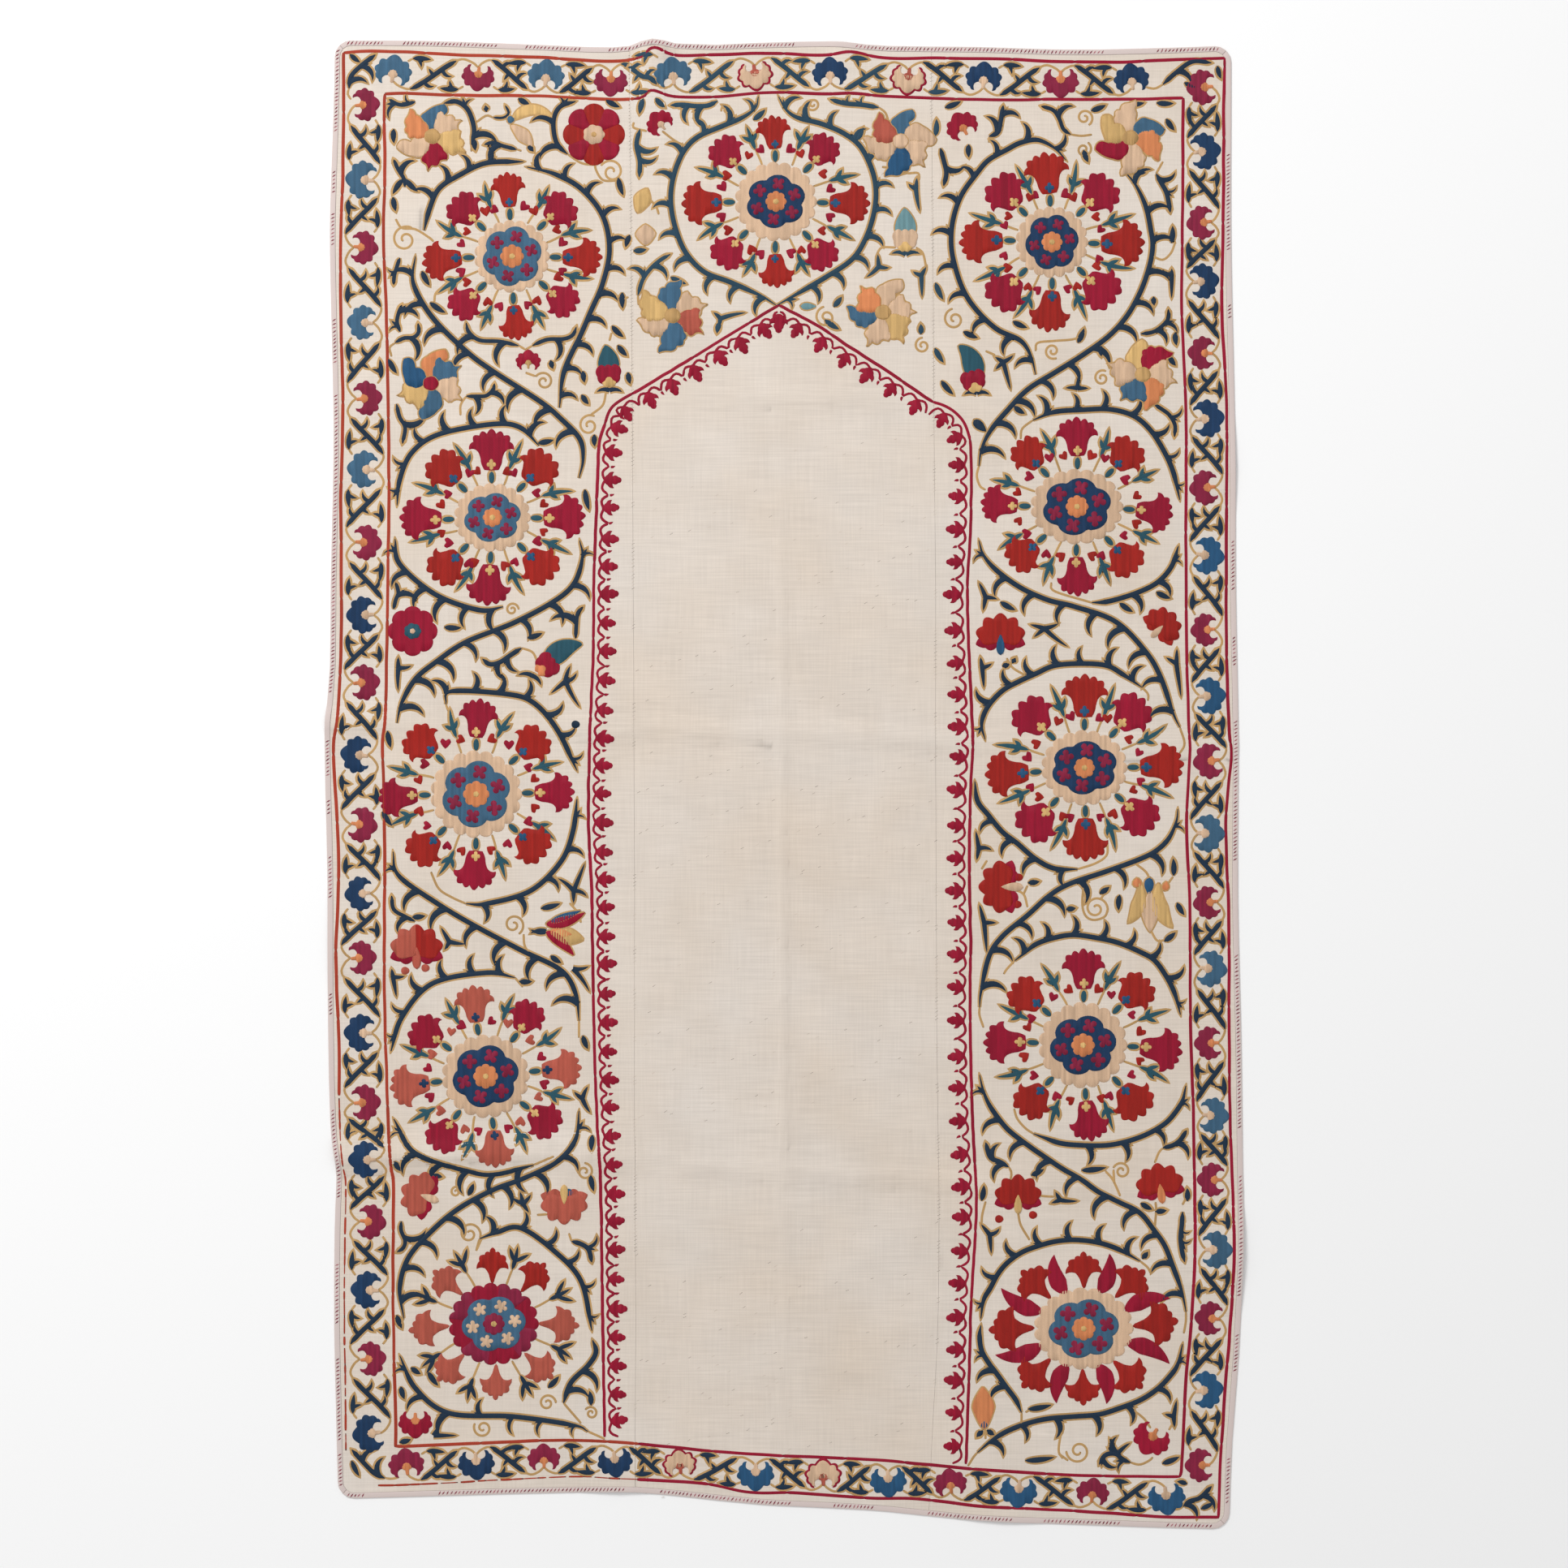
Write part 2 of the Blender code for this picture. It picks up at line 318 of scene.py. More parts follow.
def scallops(notches, step=2.6):
    """A closed outline of arcs between notches. A notch is its place and how far the arc after it swells."""
    line = []
    for (ax, ay, swell), (bx, by, _) in zip(notches, notches[1:] + notches[:1]):
        chord = math.hypot(bx - ax, by - ay)
        count = max(1, round(chord * (1 + abs(swell)) / step))
        for i in range(count):
            t = i / count
            out = swell * chord * 4 * t * (1 - t)
            x = ax + (bx - ax) * t - (by - ay) / chord * out
            line.append((x, ay + (by - ay) * t + (bx - ax) / chord * out))
    return np.array(line)


def lobed(reach_x, reach_y, lobes, depth, turn=0.0, *, points):
    """A rosette's outline: lobes round an ellipse, with sharp notches between them."""
    angle = np.linspace(0, 2 * np.pi, points, endpoint=False)
    reach = 1 - depth * (1 - abs(np.cos(lobes * angle / 2 - math.radians(turn) * lobes / 2)) ** 0.7)
    return np.column_stack([reach_x * reach * np.cos(angle), reach_y * reach * np.sin(angle)])


# How wide a line of stitches is along its length, as a share of its full width.


def even(t):
    return np.clip(np.minimum(t, 1 - t) * 14 + 0.75, 0, 1)


def leaf(t):
    return np.sin(np.pi * t**0.8) ** 0.75 + 0.02


def horn(t):
    """A hooked leaf: full for most of its length, then pointed."""
    return (1 - t**3.2) ** 0.9 * (0.8 + 0.24 * np.sin(np.pi * np.minimum(t * 1.25, 1))) + 0.03


def stem(t):
    """A stem that thins to a point at both ends."""
    return np.clip(np.minimum(t, 1 - t) * 7 + 0.18, 0, 1)


def comma_shape(t):
    """A fat comma: round at its foot, and pointed."""
    return np.minimum(1, (t / 0.3) ** 0.5) * (1 - np.clip((t - 0.3) / 0.7, 0, 1) ** 1.9) + 0.02


def oval(t):
    return np.sqrt(np.clip(1 - (2 * t - 1) ** 2, 0, 1)) + 0.02


def lance(t):
    """A long leaf, widest before its middle."""
    return np.clip(np.sin(np.pi * t**0.72), 0, 1) ** 0.8 * 0.96 + 0.04


def petal(t):
    """A petal that is widest near its middle and ends in a point."""
    return np.minimum(1, (t / 0.5) ** 0.62) * (1 - np.clip((t - 0.5) / 0.5, 0, 1) ** 1.7) + 0.02


def lance_foot(t):
    """A leaf that is wide at its foot, where it joins others, and pointed at its tip."""
    return (1 - t**1.6) ** 0.7 * 0.96 + 0.04


def flat(t):
    """A line that is as wide at its ends as elsewhere."""
    return np.ones_like(t)


class Needlework:
    """One embroidered piece, built up patch by patch on the cloth's face."""

    def __init__(self, name, tree):
        self.name = name
        self.tree = tree
        self.work = bmesh.new()
        self.scratch = bpy.data.meshes.new("scratch")
        self.silks = []
        self.draw = random.Random(f"{name} {settings().seed}")
        self.sizes = settings().stitch
        self.shift = 0.0

    def keep(self, patch, silk):
        """Closes a finished patch underneath and adds it to the piece."""
        if silk not in self.silks:
            self.silks.append(silk)
        rim = [item for item in patch.edges if item.is_boundary]
        for item in rim:
            item.smooth = False
        if self.bent(patch):
            self.line_underneath(patch)
        else:
            bmesh.ops.edgeloop_fill(patch, edges=rim)
        bmesh.ops.recalc_face_normals(patch, faces=patch.faces[:])
        for face in patch.faces:
            face.material_index = self.silks.index(silk)
            face.smooth = True
        patch.to_mesh(self.scratch)
        patch.free()
        self.work.from_mesh(self.scratch)

    def bent(self, patch):
        """Whether a patch lies over a fold, so that one flat face under it would come out through its top."""
        spots = np.array([(vertex.co.x, vertex.co.y, 1.0, vertex.co.z) for vertex in patch.verts])
        rim = np.array([vertex.is_boundary for vertex in patch.verts])
        plane = np.linalg.lstsq(spots[rim, :3], spots[rim, 3], rcond=None)[0]
        over = spots[:, 3] - spots[:, :3] @ plane
        return (~rim).any() and over[~rim].min() < over[rim].max() + SUNK

    def line_underneath(self, patch):
        """Closes a patch with a copy of itself that follows the cloth."""
        everything = patch.verts[:] + patch.edges[:] + patch.faces[:]
        copy = bmesh.ops.duplicate(patch, geom=everything)["geom"]
        for item in copy:
            if isinstance(item, bmesh.types.BMVert) and not item.is_boundary:
                item.co.z = height(self.tree, item.co.x, item.co.y) - LINING
        bmesh.ops.reverse_faces(patch, faces=[item for item in copy if isinstance(item, bmesh.types.BMFace)])
        rims = [vertex for vertex in patch.verts if vertex.is_boundary]
        bmesh.ops.remove_doubles(patch, verts=rims, dist=0.0001 * MM)

    def couch(self, outline, silk, layer=0):
        """Fills an outline with couched silk: ridges of laid thread that run along the cloth's length."""
        rise, lift = self.sizes.rise, layer * self.sizes.layer
        ridge, row, rim = self.sizes.ridge / MM, self.sizes.row / MM, self.sizes.rim / MM
        outline = np.asarray(outline, float)
        size = np.ptp(outline, axis=0)
        patch = bmesh.new()
        tone = patch.faces.layers.float.new("tone")
        thread = patch.loops.layers.uv.new("thread")
        patch.faces.new([patch.verts.new((x, y, 0)) for x, y in outline])
        patch.normal_update()
        if patch.faces[:][0].normal.z < 0:
            bmesh.ops.reverse_faces(patch, faces=patch.faces[:])
        rim = min(rim, size.min() * 0.08)
        bmesh.ops.inset_region(
            patch, faces=patch.faces[:], thickness=rim, use_even_offset=True, use_boundary=True
        )
        if layer == 0:
            self.shift = self.draw.uniform(0, ridge)
        shift = self.shift
        for axis, pitch, start in ((0, ridge / 2, shift), (1, row / FOLD_CUTS, 0.0)):
            low, high = outline[:, axis].min(), outline[:, axis].max()
            first = math.ceil((low - start) / pitch)
            for i in range(first, math.floor((high - start) / pitch) + 1):
                if axis == 1 and i % FOLD_CUTS and not self.folded(outline, i * pitch, pitch):
                    continue
                place, normal = [0.0, 0.0, 0.0], [0.0, 0.0, 0.0]
                place[axis], normal[axis] = start + i * pitch, 1.0
                everything = patch.verts[:] + patch.edges[:] + patch.faces[:]
                bmesh.ops.bisect_plane(patch, geom=everything, dist=0.02, plane_co=place, plane_no=normal)
        strips = {}
        base = 1 + self.draw.uniform(-0.06, 0.06)
        for face in patch.faces:
            middle = face.calc_center_bounds()
            strip = math.floor((middle.x - shift) / ridge)
            if strip not in strips:
                strips[strip] = base + self.draw.uniform(-0.13, 0.13)
            face[tone] = strips[strip]
            for corner in face.loops:
                corner[thread].uv = (corner.vert.co.y / 10, corner.vert.co.x / 10)
        for vertex in patch.verts:
            x, y = vertex.co.x, vertex.co.y
            swell = 0.5 + 0.5 * abs(math.sin(math.pi * (x - shift) / ridge))
            up = -SUNK if vertex.is_boundary else lift + rise * swell
            vertex.co = (x * MM, y * MM, height(self.tree, x * MM, y * MM) + up)
        self.keep(patch, silk)

    def folded(self, outline, y, reach):
        """Whether the cloth under an outline has a fold across its length at a height."""
        for x in (outline[:, 0].min(), outline[:, 0].mean(), outline[:, 0].max()):
            before, here, after = (height(self.tree, x * MM, (y + step) * MM) for step in (-reach, 0, reach))
            if abs(before + after - 2 * here) > FOLD:
                return True
        return False

    def chain(self, line, width, silk, profile=even, rise=None, spare=0.0):
        """Works a line in chain stitch, as wide along its length as its profile says.

        Spare is the line of edging that shows on each side of it."""
        rise = rise or self.sizes.chain_rise
        line = np.asarray(line, float)
        run = np.concatenate([[0], np.cumsum(np.hypot(*np.diff(line, axis=0).T))])
        half = width / 2 * profile(run / run[-1])
        half = np.maximum(half, 0.12) + spare * np.clip((run[-1] - run) / 7, 0.1, 1)
        side = sideways(line)
        across = (-1.0, -0.5, 0.0, 0.5, 1.0) if width > 7.7 else (-1.0, 0.0, 1.0)
        if spare:
            across = (-1.0, -0.8, 0.8, 1.0)
        patch = bmesh.new()
        tone = patch.faces.layers.float.new("tone")
        thread = patch.loops.layers.uv.new("thread")
        columns, rows = len(line) - 1, len(across) - 1
        bmesh.ops.create_grid(patch, x_segments=columns, y_segments=rows, size=1.0)
        shade = 1 + self.draw.uniform(-0.09, 0.09)
        for face in patch.faces:
            face[tone] = shade
            for corner in face.loops:
                at = round((corner.vert.co.x + 1) / 2 * columns)
                corner[thread].uv = (run[at] / 10, corner.vert.co.y * half[at] / 10)
        for vertex in patch.verts:
            at = round((vertex.co.x + 1) / 2 * columns)
            over = across[round((vertex.co.y + 1) / 2 * rows)]
            x, y = (line[at] + side[at] * half[at] * over) * MM
            low = abs(over) == 1.0
            up = -SUNK if low else rise * (1 - 0.22 * abs(over)) * min(1.0, 0.45 + half[at] / 2.2)
            vertex.co = (x, y, height(self.tree, x, y) + up)
        self.keep(patch, silk)

    def bordered(self, line, width, silk, profile, rise=None):
        """A stem or leaf with a line of gold showing all round it."""
        ahead = line[-1] - line[-2]
        beyond = line[-1] + ahead / max(math.hypot(*ahead), 0.01) * 4.5
        spare = self.sizes.outline / MM
        self.chain(evenly([*line, beyond]), width, "gold", profile, rise=EDGING_RISE, spare=spare)
        self.chain(line, width, silk, profile, rise=rise)

    def gold(self, line, rise=GOLD_RISE):
        """A thin gold stem."""
        self.chain(line, GOLD_STEM, "gold", even, rise)

    def finish(self):
        """Makes the piece from its patches, with a material for each silk."""
        mesh = bpy.data.meshes.new(self.name)
        self.work.to_mesh(mesh)
        self.work.free()
        bpy.data.meshes.remove(self.scratch)
        for silk in self.silks:
            mesh.materials.append(silk_material(silk))
        piece = bpy.data.objects.new(self.name, mesh)
        bpy.context.scene.collection.objects.link(piece)
        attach(piece, "root")


# Materials.


def new_material(name, look, roughness):
    """A material with its shader's plain values set, and the nodes to build on."""
    material = bpy.data.materials.new(name)
    material.use_nodes = True
    tree = material.node_tree
    shader = tree.nodes["Principled BSDF"]
    shader.inputs["Base Color"].default_value = (*look, 1)
    shader.inputs["Roughness"].default_value = roughness
    shader.inputs["Metallic"].default_value = 0.0
    return material, tree, shader


def add_node(tree, kind, **values):
    node = tree.nodes.new(kind)
    for name, value in values.items():
        if name in node.inputs:
            node.inputs[name].default_value = value
        else:
            setattr(node, name, value)
    return node


def join(tree, *links):
    """Joins nodes. Each link names a node, its output, the next node and its input."""
    for first, output, second, socket in links:
        tree.links.new(first.outputs[output], second.inputs[socket])


def silk_material(silk):
    """Dyed silk: its tone differs from thread to thread, and fine threads catch the light."""
    name = f"silk_{silk}"
    if name in bpy.data.materials:
        return bpy.data.materials[name]
    look = getattr(settings().silk, silk)
    material, tree, shader = new_material(name, look, 0.6)
    shader.inputs["Specular IOR Level"].default_value = 0.2
    tone = add_node(tree, "ShaderNodeAttribute", attribute_name="tone")
    place = add_node(tree, "ShaderNodeTexCoord")
    stretch = add_node(tree, "ShaderNodeMapping", Scale=(260, 45, 60))
    fade = add_node(tree, "ShaderNodeTexNoise", Scale=1.0, Detail=2.0)
    spread = add_node(tree, "ShaderNodeMapRange", **{"To Min": 0.86, "To Max": 1.16})
    both = add_node(tree, "ShaderNodeMath", operation="MULTIPLY")
    shade = add_node(tree, "ShaderNodeHueSaturation", Color=(*look, 1))
    join(
        tree,
        (place, "Object", stretch, "Vector"),
        (stretch, "Vector", fade, "Vector"),
        (fade, "Fac", spread, "Value"),
        (spread, "Result", both, 0),
        (tone, "Fac", both, 1),
        (both, "Value", shade, "Value"),
        (shade, "Color", shader, "Base Color"),
    )

    uv = add_node(tree, "ShaderNodeUVMap", uv_map="thread")
    threads = add_node(tree, "ShaderNodeTexWave", bands_direction="Y", Scale=3.6, Distortion=1.2)
    ties = add_node(tree, "ShaderNodeTexWave", bands_direction="DIAGONAL", Scale=1.6, Distortion=1.5)
    mix = add_node(tree, "ShaderNodeMath", operation="ADD")
    bump = add_node(tree, "ShaderNodeBump", Strength=0.35, Distance=0.0003)
    join(
        tree,
        (uv, "UV", threads, "Vector"),
        (uv, "UV", ties, "Vector"),
        (threads, "Fac", mix, 0),
        (ties, "Fac", mix, 1),
        (mix, "Value", bump, "Height"),
        (bump, "Normal", shader, "Normal"),
    )
    return material


def cotton_material():
    """Undyed hand-woven cotton with uneven threads and old faint stains."""
    if "cotton_cloth" in bpy.data.materials:
        return bpy.data.materials["cotton_cloth"]
    cloth = settings().cloth
    material, tree, shader = new_material("cotton_cloth", cloth.cotton, 0.92)
    shader.inputs["Specular IOR Level"].default_value = 0.15
    place = add_node(tree, "ShaderNodeTexCoord")

    def mottle(scale, stretch, low, high, detail=3.0):
        """A cloudy pattern between two values, finer along the axes that are stretched."""
        mapping = add_node(tree, "ShaderNodeMapping", Scale=stretch)
        cloud = add_node(tree, "ShaderNodeTexNoise", Scale=scale, Detail=detail)
        ends = {"From Min": 0.3, "From Max": 0.7, "To Min": low, "To Max": high}
        span = add_node(tree, "ShaderNodeMapRange", **ends)
        join(
            tree,
            (place, "Object", mapping, "Vector"),
            (mapping, "Vector", cloud, "Vector"),
            (cloud, "Fac", span, "Value"),
        )
        return span

    stains = mottle(4.5, (1, 1, 1), 0.0, 0.5)
    mixed = add_node(tree, "ShaderNodeMix", data_type="RGBA")
    mixed.inputs["A"].default_value = (*cloth.cotton, 1)
    mixed.inputs["B"].default_value = (*cloth.stain, 1)
    weft = mottle(1.0, (14, 420, 1), 0.95, 1.05, 2.0)
    warp = mottle(1.0, (420, 14, 1), 0.97, 1.03, 2.0)
    cloud = mottle(11.0, (1, 1, 1), 0.97, 1.03)
    first = add_node(tree, "ShaderNodeMath", operation="MULTIPLY")
    second = add_node(tree, "ShaderNodeMath", operation="MULTIPLY")
    shade = add_node(tree, "ShaderNodeHueSaturation")
    join(
        tree,
        (stains, "Result", mixed, "Factor"),
        (weft, "Result", first, 0),
        (warp, "Result", first, 1),
        (first, "Value", second, 0),
        (cloud, "Result", second, 1),
        (mixed, "Result", shade, "Color"),
        (second, "Value", shade, "Value"),
        (shade, "Color", shader, "Base Color"),
    )

    cross = add_node(tree, "ShaderNodeMath", operation="MAXIMUM")
    for i, direction in enumerate("XY"):
        scale = 0.314 / cloth.thread
        wave = add_node(tree, "ShaderNodeTexWave", bands_direction=direction, Scale=scale, Distortion=1.0)
        join(tree, (place, "Object", wave, "Vector"), (wave, "Fac", cross, i))
    bump = add_node(tree, "ShaderNodeBump", Strength=0.3, Distance=0.0002)
    join(tree, (cross, "Value", bump, "Height"), (bump, "Normal", shader, "Normal"))
    return material


def braid_material():
    """Woven braid, a little darker and redder than the cotton."""
    if "edging_braid_cloth" in bpy.data.materials:
        return bpy.data.materials["edging_braid_cloth"]
    material, tree, shader = new_material("edging_braid_cloth", settings().cloth.braid, 0.85)
    place = add_node(tree, "ShaderNodeTexCoord")
    wave = add_node(tree, "ShaderNodeTexWave", bands_direction="DIAGONAL", Scale=240, Distortion=2.0)
    bump = add_node(tree, "ShaderNodeBump", Strength=0.5, Distance=0.0003)
    join(
        tree,
        (place, "Object", wave, "Vector"),
        (wave, "Fac", bump, "Height"),
        (bump, "Normal", shader, "Normal"),
    )
    return material


# The cloth. Its creases lie where the photograph shows them, on the folds of the solids.

CREASES = [
    {"name": "field_centre", "x": 66, "y": -190, "heading": 91, "reach": 260, "spread": 14, "height": 0.5},
    {"name": "field_low", "x": -20, "y": -401, "heading": 2, "reach": 300, "spread": 22, "height": -0.6},
    {"name": "field_lower", "x": 40, "y": -503, "heading": -3, "reach": 280, "spread": 30, "height": 0.9},
    {"name": "field_foot", "x": 0, "y": -870, "heading": 4, "reach": 240, "spread": 26, "height": 0.8},
    {"name": "field_cross", "x": 90, "y": -720, "heading": 38, "reach": 150, "spread": 24, "height": 0.8},
    {"name": "field_dent", "x": -120, "y": -640, "heading": 63, "reach": 130, "spread": 22, "height": -0.7},
    {"name": "field_top", "x": 20, "y": 470, "heading": 1, "reach": 220, "spread": 20, "height": 0.4},
    {"name": "left_low", "x": -470, "y": -515, "heading": -4, "reach": 190, "spread": 20, "height": 0.8},
    {"name": "right_low", "x": 420, "y": -640, "heading": 3, "reach": 210, "spread": 22, "height": 0.7},
    {"name": "right_mid", "x": 430, "y": 215, "heading": -2, "reach": 220, "spread": 18, "height": -0.5},
    {"name": "left_mid", "x": -420, "y": 205, "heading": 2, "reach": 220, "spread": 18, "height": 0.5},
]


def crumple(x, y):
    """Small unevenness of old cloth, strongest in the empty lower field. Millimetres in and out."""
    total = 0.0
    for crease in CREASES:
        angle = math.radians(crease["heading"])
        dx, dy = x - crease["x"], y - crease["y"]
        along = (dx * math.cos(angle) + dy * math.sin(angle)) / crease["reach"]
        across = (dy * math.cos(angle) - dx * math.sin(angle)) / crease["spread"]
        if abs(along) < 1 and abs(across) < 1:
            total += crease["height"] * (1 - along**2) ** 2 * (1 - across**2) ** 2
    low_field = max(0.0, 1 - abs(x) / 260) * min(1.0, max(0.0, (-430 - y) / 150))
    total += 0.55 * (1 + 1.1 * low_field) * noise.noise(Vector((x / 95, y / 70, 3.1)))
    total += 0.22 * (1 + low_field) * noise.noise(Vector((x / 34, y / 30, 8.4)))
    return total


def weave_width(name, node, wide, long):
    """One width of cotton over its solid. Its face is cut finely, smoothed and creased, then thickened."""
    cloth = settings().cloth
    sheet = bmesh.new()
    sheet.from_mesh(frame["nodes"][node].data)
    bmesh.ops.remove_doubles(sheet, verts=sheet.verts, dist=0.01 * MM)
    sheet.normal_update()
    under = [face for face in sheet.faces if face.normal.z < 0.5]
    bmesh.ops.delete(sheet, geom=under, context="FACES")
    for axis in (0, 1):
        places = [vertex.co[axis] for vertex in sheet.verts]
        count = round((max(places) - min(places)) / cloth.cell)
        for i in range(1, count):
            place, normal = [0.0, 0.0, 0.0], [0.0, 0.0, 0.0]
            place[axis] = min(places) + (max(places) - min(places)) * i / count
            normal[axis] = 1.0
            everything = sheet.verts[:] + sheet.edges[:] + sheet.faces[:]
            bmesh.ops.bisect_plane(sheet, geom=everything, dist=0.8 * MM, plane_co=place, plane_no=normal)
    for _ in range(8):
        bmesh.ops.smooth_vert(sheet, verts=sheet.verts, factor=0.5, use_axis_z=True)
    for vertex in sheet.verts:
        x, y = vertex.co.x / MM, vertex.co.y / MM
        vertex.co.z = max(vertex.co.z + crumple(x, y) * MM, cloth.thickness)
    raised = bmesh.ops.extrude_face_region(sheet, geom=sheet.faces[:], use_keep_orig=True)
    below = [item for item in raised["geom"] if isinstance(item, bmesh.types.BMVert)]
    bmesh.ops.translate(sheet, verts=below, vec=(0, 0, -cloth.thickness))
    bmesh.ops.recalc_face_normals(sheet, faces=sheet.faces[:])

    mesh = bpy.data.meshes.new(name)
    sheet.to_mesh(mesh)
    sheet.free()
    mesh.shade_smooth()
    mesh.set_sharp_from_angle(angle=0.8)
    mesh.materials.append(cotton_material())
    piece = bpy.data.objects.new(name, mesh)
    bpy.context.scene.collection.objects.link(piece)
    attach(piece, "root")
    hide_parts(node)


class SUZANI_OT_cloth(bpy.types.Operator):
    """Lay the three widths of cotton"""

    bl_idname = "suzani.cloth"
    bl_label = "Cloth"

    def execute(self, context):
        for row in WIDTHS:
            weave_width(**row)
        return {"FINISHED"}


class SUZANI_OT_seams(bpy.types.Operator):
    """Sew the widths together with small slanted stitches"""

    bl_idname = "suzani.seams"
    bl_label = "Seams"

    def execute(self, context):
        pitch = settings().cloth.seam_stitch / MM
        for name, (heights, places) in SEAM.items():
            sewing = Needlework(f"seam_{name}", cloth_tree())
            y = heights[0] + 14
            while y < heights[-1] - 14:
                x = float(np.interp(y, heights, places))
                lean = sewing.draw.uniform(0.6, 1.6)
                line = [(x - 2.2, y - lean), (x, y), (x + 2.2, y + lean)]
                sewing.chain(line, 0.9, "thread", leaf, STITCH_RISE)
                y += pitch * sewing.draw.uniform(0.85, 1.15)
            sewing.finish()
        return {"FINISHED"}


class SUZANI_OT_braid(bpy.types.Operator):
    """Bind the edge with a narrow braid and its slanted stitches"""

    bl_idname = "suzani.braid"
    bl_label = "Braid"

    def execute(self, context):
        for name, side in SIDES.items():
            self.bind(name, side)
        return {"FINISHED"}

    def bind(self, name, side):
        """One side: the braid itself with rounded edges, then the coloured stitches that are left on it."""
        cloth = settings().cloth
        strip = bmesh.new()
        strip.from_mesh(frame["nodes"][side["node"]].data)
        bmesh.ops.remove_doubles(strip, verts=strip.verts, dist=0.01 * MM)
        strip.normal_update()
        sharp = [item for item in strip.edges if item.is_manifold and item.calc_face_angle() > 1.0]
        bmesh.ops.bevel(
            strip,
            geom=sharp,
            offset=0.8 * MM,
            segments=3,
            profile=0.5,
            affect="EDGES",
            material=-1,
            clamp_overlap=True,
        )
        tree = BVHTree.FromBMesh(strip)
        mesh = bpy.data.meshes.new(f"binding_{name}")
        strip.to_mesh(mesh)
        strip.free()
        mesh.shade_smooth()
        mesh.set_sharp_from_angle(angle=0.9)
        mesh.materials.append(braid_material())
        piece = bpy.data.objects.new(f"binding_{name}", mesh)
        bpy.context.scene.collection.objects.link(piece)
        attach(piece, "root")
        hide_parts(side["node"])

        stitches = Needlework(f"binding_stitches_{name}", tree)
        places = EDGE[name][0]
        pitch = cloth.braid_stitch / MM
        at = places[0] + 12
        while at < places[-1] - 12:
            wear = noise.noise(Vector((at / 70, len(name) * 3.7, 1.3)))
            if wear > (0.02 if name == "right" else -0.14):
                middle = float(edge(name, at)) - side["out"] * 4.2
                long = 3.0 * stitches.draw.uniform(0.7, 1.15)
                lean = 1.8 * stitches.draw.uniform(0.7, 1.3)
                ends = [(at - lean, middle - long), (at, middle), (at + lean, middle + long)]
                line = [(a, b) if side["along"] == 0 else (b, a) for a, b in ends]
                silk = "faded_rose" if stitches.draw.random() < 0.4 else "dark_rose"
                stitches.chain(line, 2.4, silk, leaf, STITCH_RISE)
            at += pitch * stitches.draw.uniform(0.9, 1.1)
        stitches.finish()


# The border.

BORDER_LINES = [
    {"side": "left", "line": "outer", "silk": "line_red", "places": [
        (-985, -648), (-940, -648), (-760, -650), (-600, -648), (-565, -652), (-500, -657), (-380, -658),
        (-260, -662), (-120, -658), (0, -664), (60, -666), (100, -660), (200, -655), (300, -654),
        (420, -655), (560, -652), (700, -655), (800, -655), (900, -652), (1000, -651), (1081, -651)]},
    {"side": "left", "line": "inner", "silk": "line_red", "places": [
        (-980, -574), (-940, -574), (-760, -578), (-600, -577), (-565, -581), (-500, -585), (-380, -589),
        (-260, -591), (-120, -590), (0, -592), (60, -594), (100, -589), (200, -587), (300, -586),
        (420, -584), (560, -585), (700, -588), (800, -592), (900, -590), (1000, -591), (1020, -590)]},
    {"side": "right", "line": "outer", "silk": "crimson", "places": [
        (-1084, 642), (-1009, 645), (-880, 653), (-812, 659), (-700, 665), (-600, 663), (-480, 659),
        (-360, 658), (-180, 657), (-60, 653), (40, 661), (80, 658), (200, 654), (380, 654), (560, 654),
        (700, 647), (820, 649), (1010, 650), (1073, 652)]},
    {"side": "right", "line": "inner", "silk": "crimson", "places": [
        (-1024, 585), (-1009, 588), (-880, 594), (-812, 601), (-700, 607), (-600, 607), (-480, 605),
        (-360, 601), (-180, 600), (-60, 595), (40, 600), (80, 599), (200, 595), (380, 594), (560, 594),
        (700, 588), (820, 589), (1014, 590)]},
    {"side": "top", "line": "outer", "silk": "crimson", "places": [
        (-651, 1081), (-620, 1083), (-560, 1082), (-480, 1078), (-360, 1074), (-260, 1068), (-212, 1074),
        (-200, 1085), (-188, 1088), (-160, 1077), (-100, 1078), (-20, 1080), (60, 1077), (100, 1082),
        (150, 1073), (240, 1073), (340, 1071), (400, 1068), (500, 1067), (560, 1070), (652, 1073)]},
    {"side": "top", "line": "inner", "silk": "crimson", "places": [
        (-590, 1020), (-560, 1021), (-480, 1018), (-360, 1017), (-260, 1012), (-212, 1014), (-200, 1025),
        (-188, 1024), (-160, 1016), (-100, 1016), (-20, 1022), (60, 1020), (100, 1021), (150, 1017),
        (240, 1013), (340, 1011), (400, 1012), (500, 1012), (590, 1014)]},
    {"side": "bottom", "line": "outer", "silk": "crimson", "places": [
        (-600, -1037), (-560, -1036), (-440, -1030), (-320, -1024), (-230, -1027), (-120, -1034),
        (-50, -1047), (20, -1048), (120, -1055), (200, -1057), (300, -1068), (440, -1075), (560, -1083),
        (643, -1084)]},
    {"side": "bottom", "line": "inner", "silk": "crimson", "places": [
        (-574, -979), (-560, -979), (-440, -974), (-320, -970), (-230, -974), (-120, -985), (-50, -990),
        (20, -994), (120, -998), (200, -1005), (300, -1014), (440, -1022), (560, -1024), (585, -1024)]},
]
BANDS = {(row["side"], row["line"]): np.array(row["places"], float).T for row in BORDER_LINES}

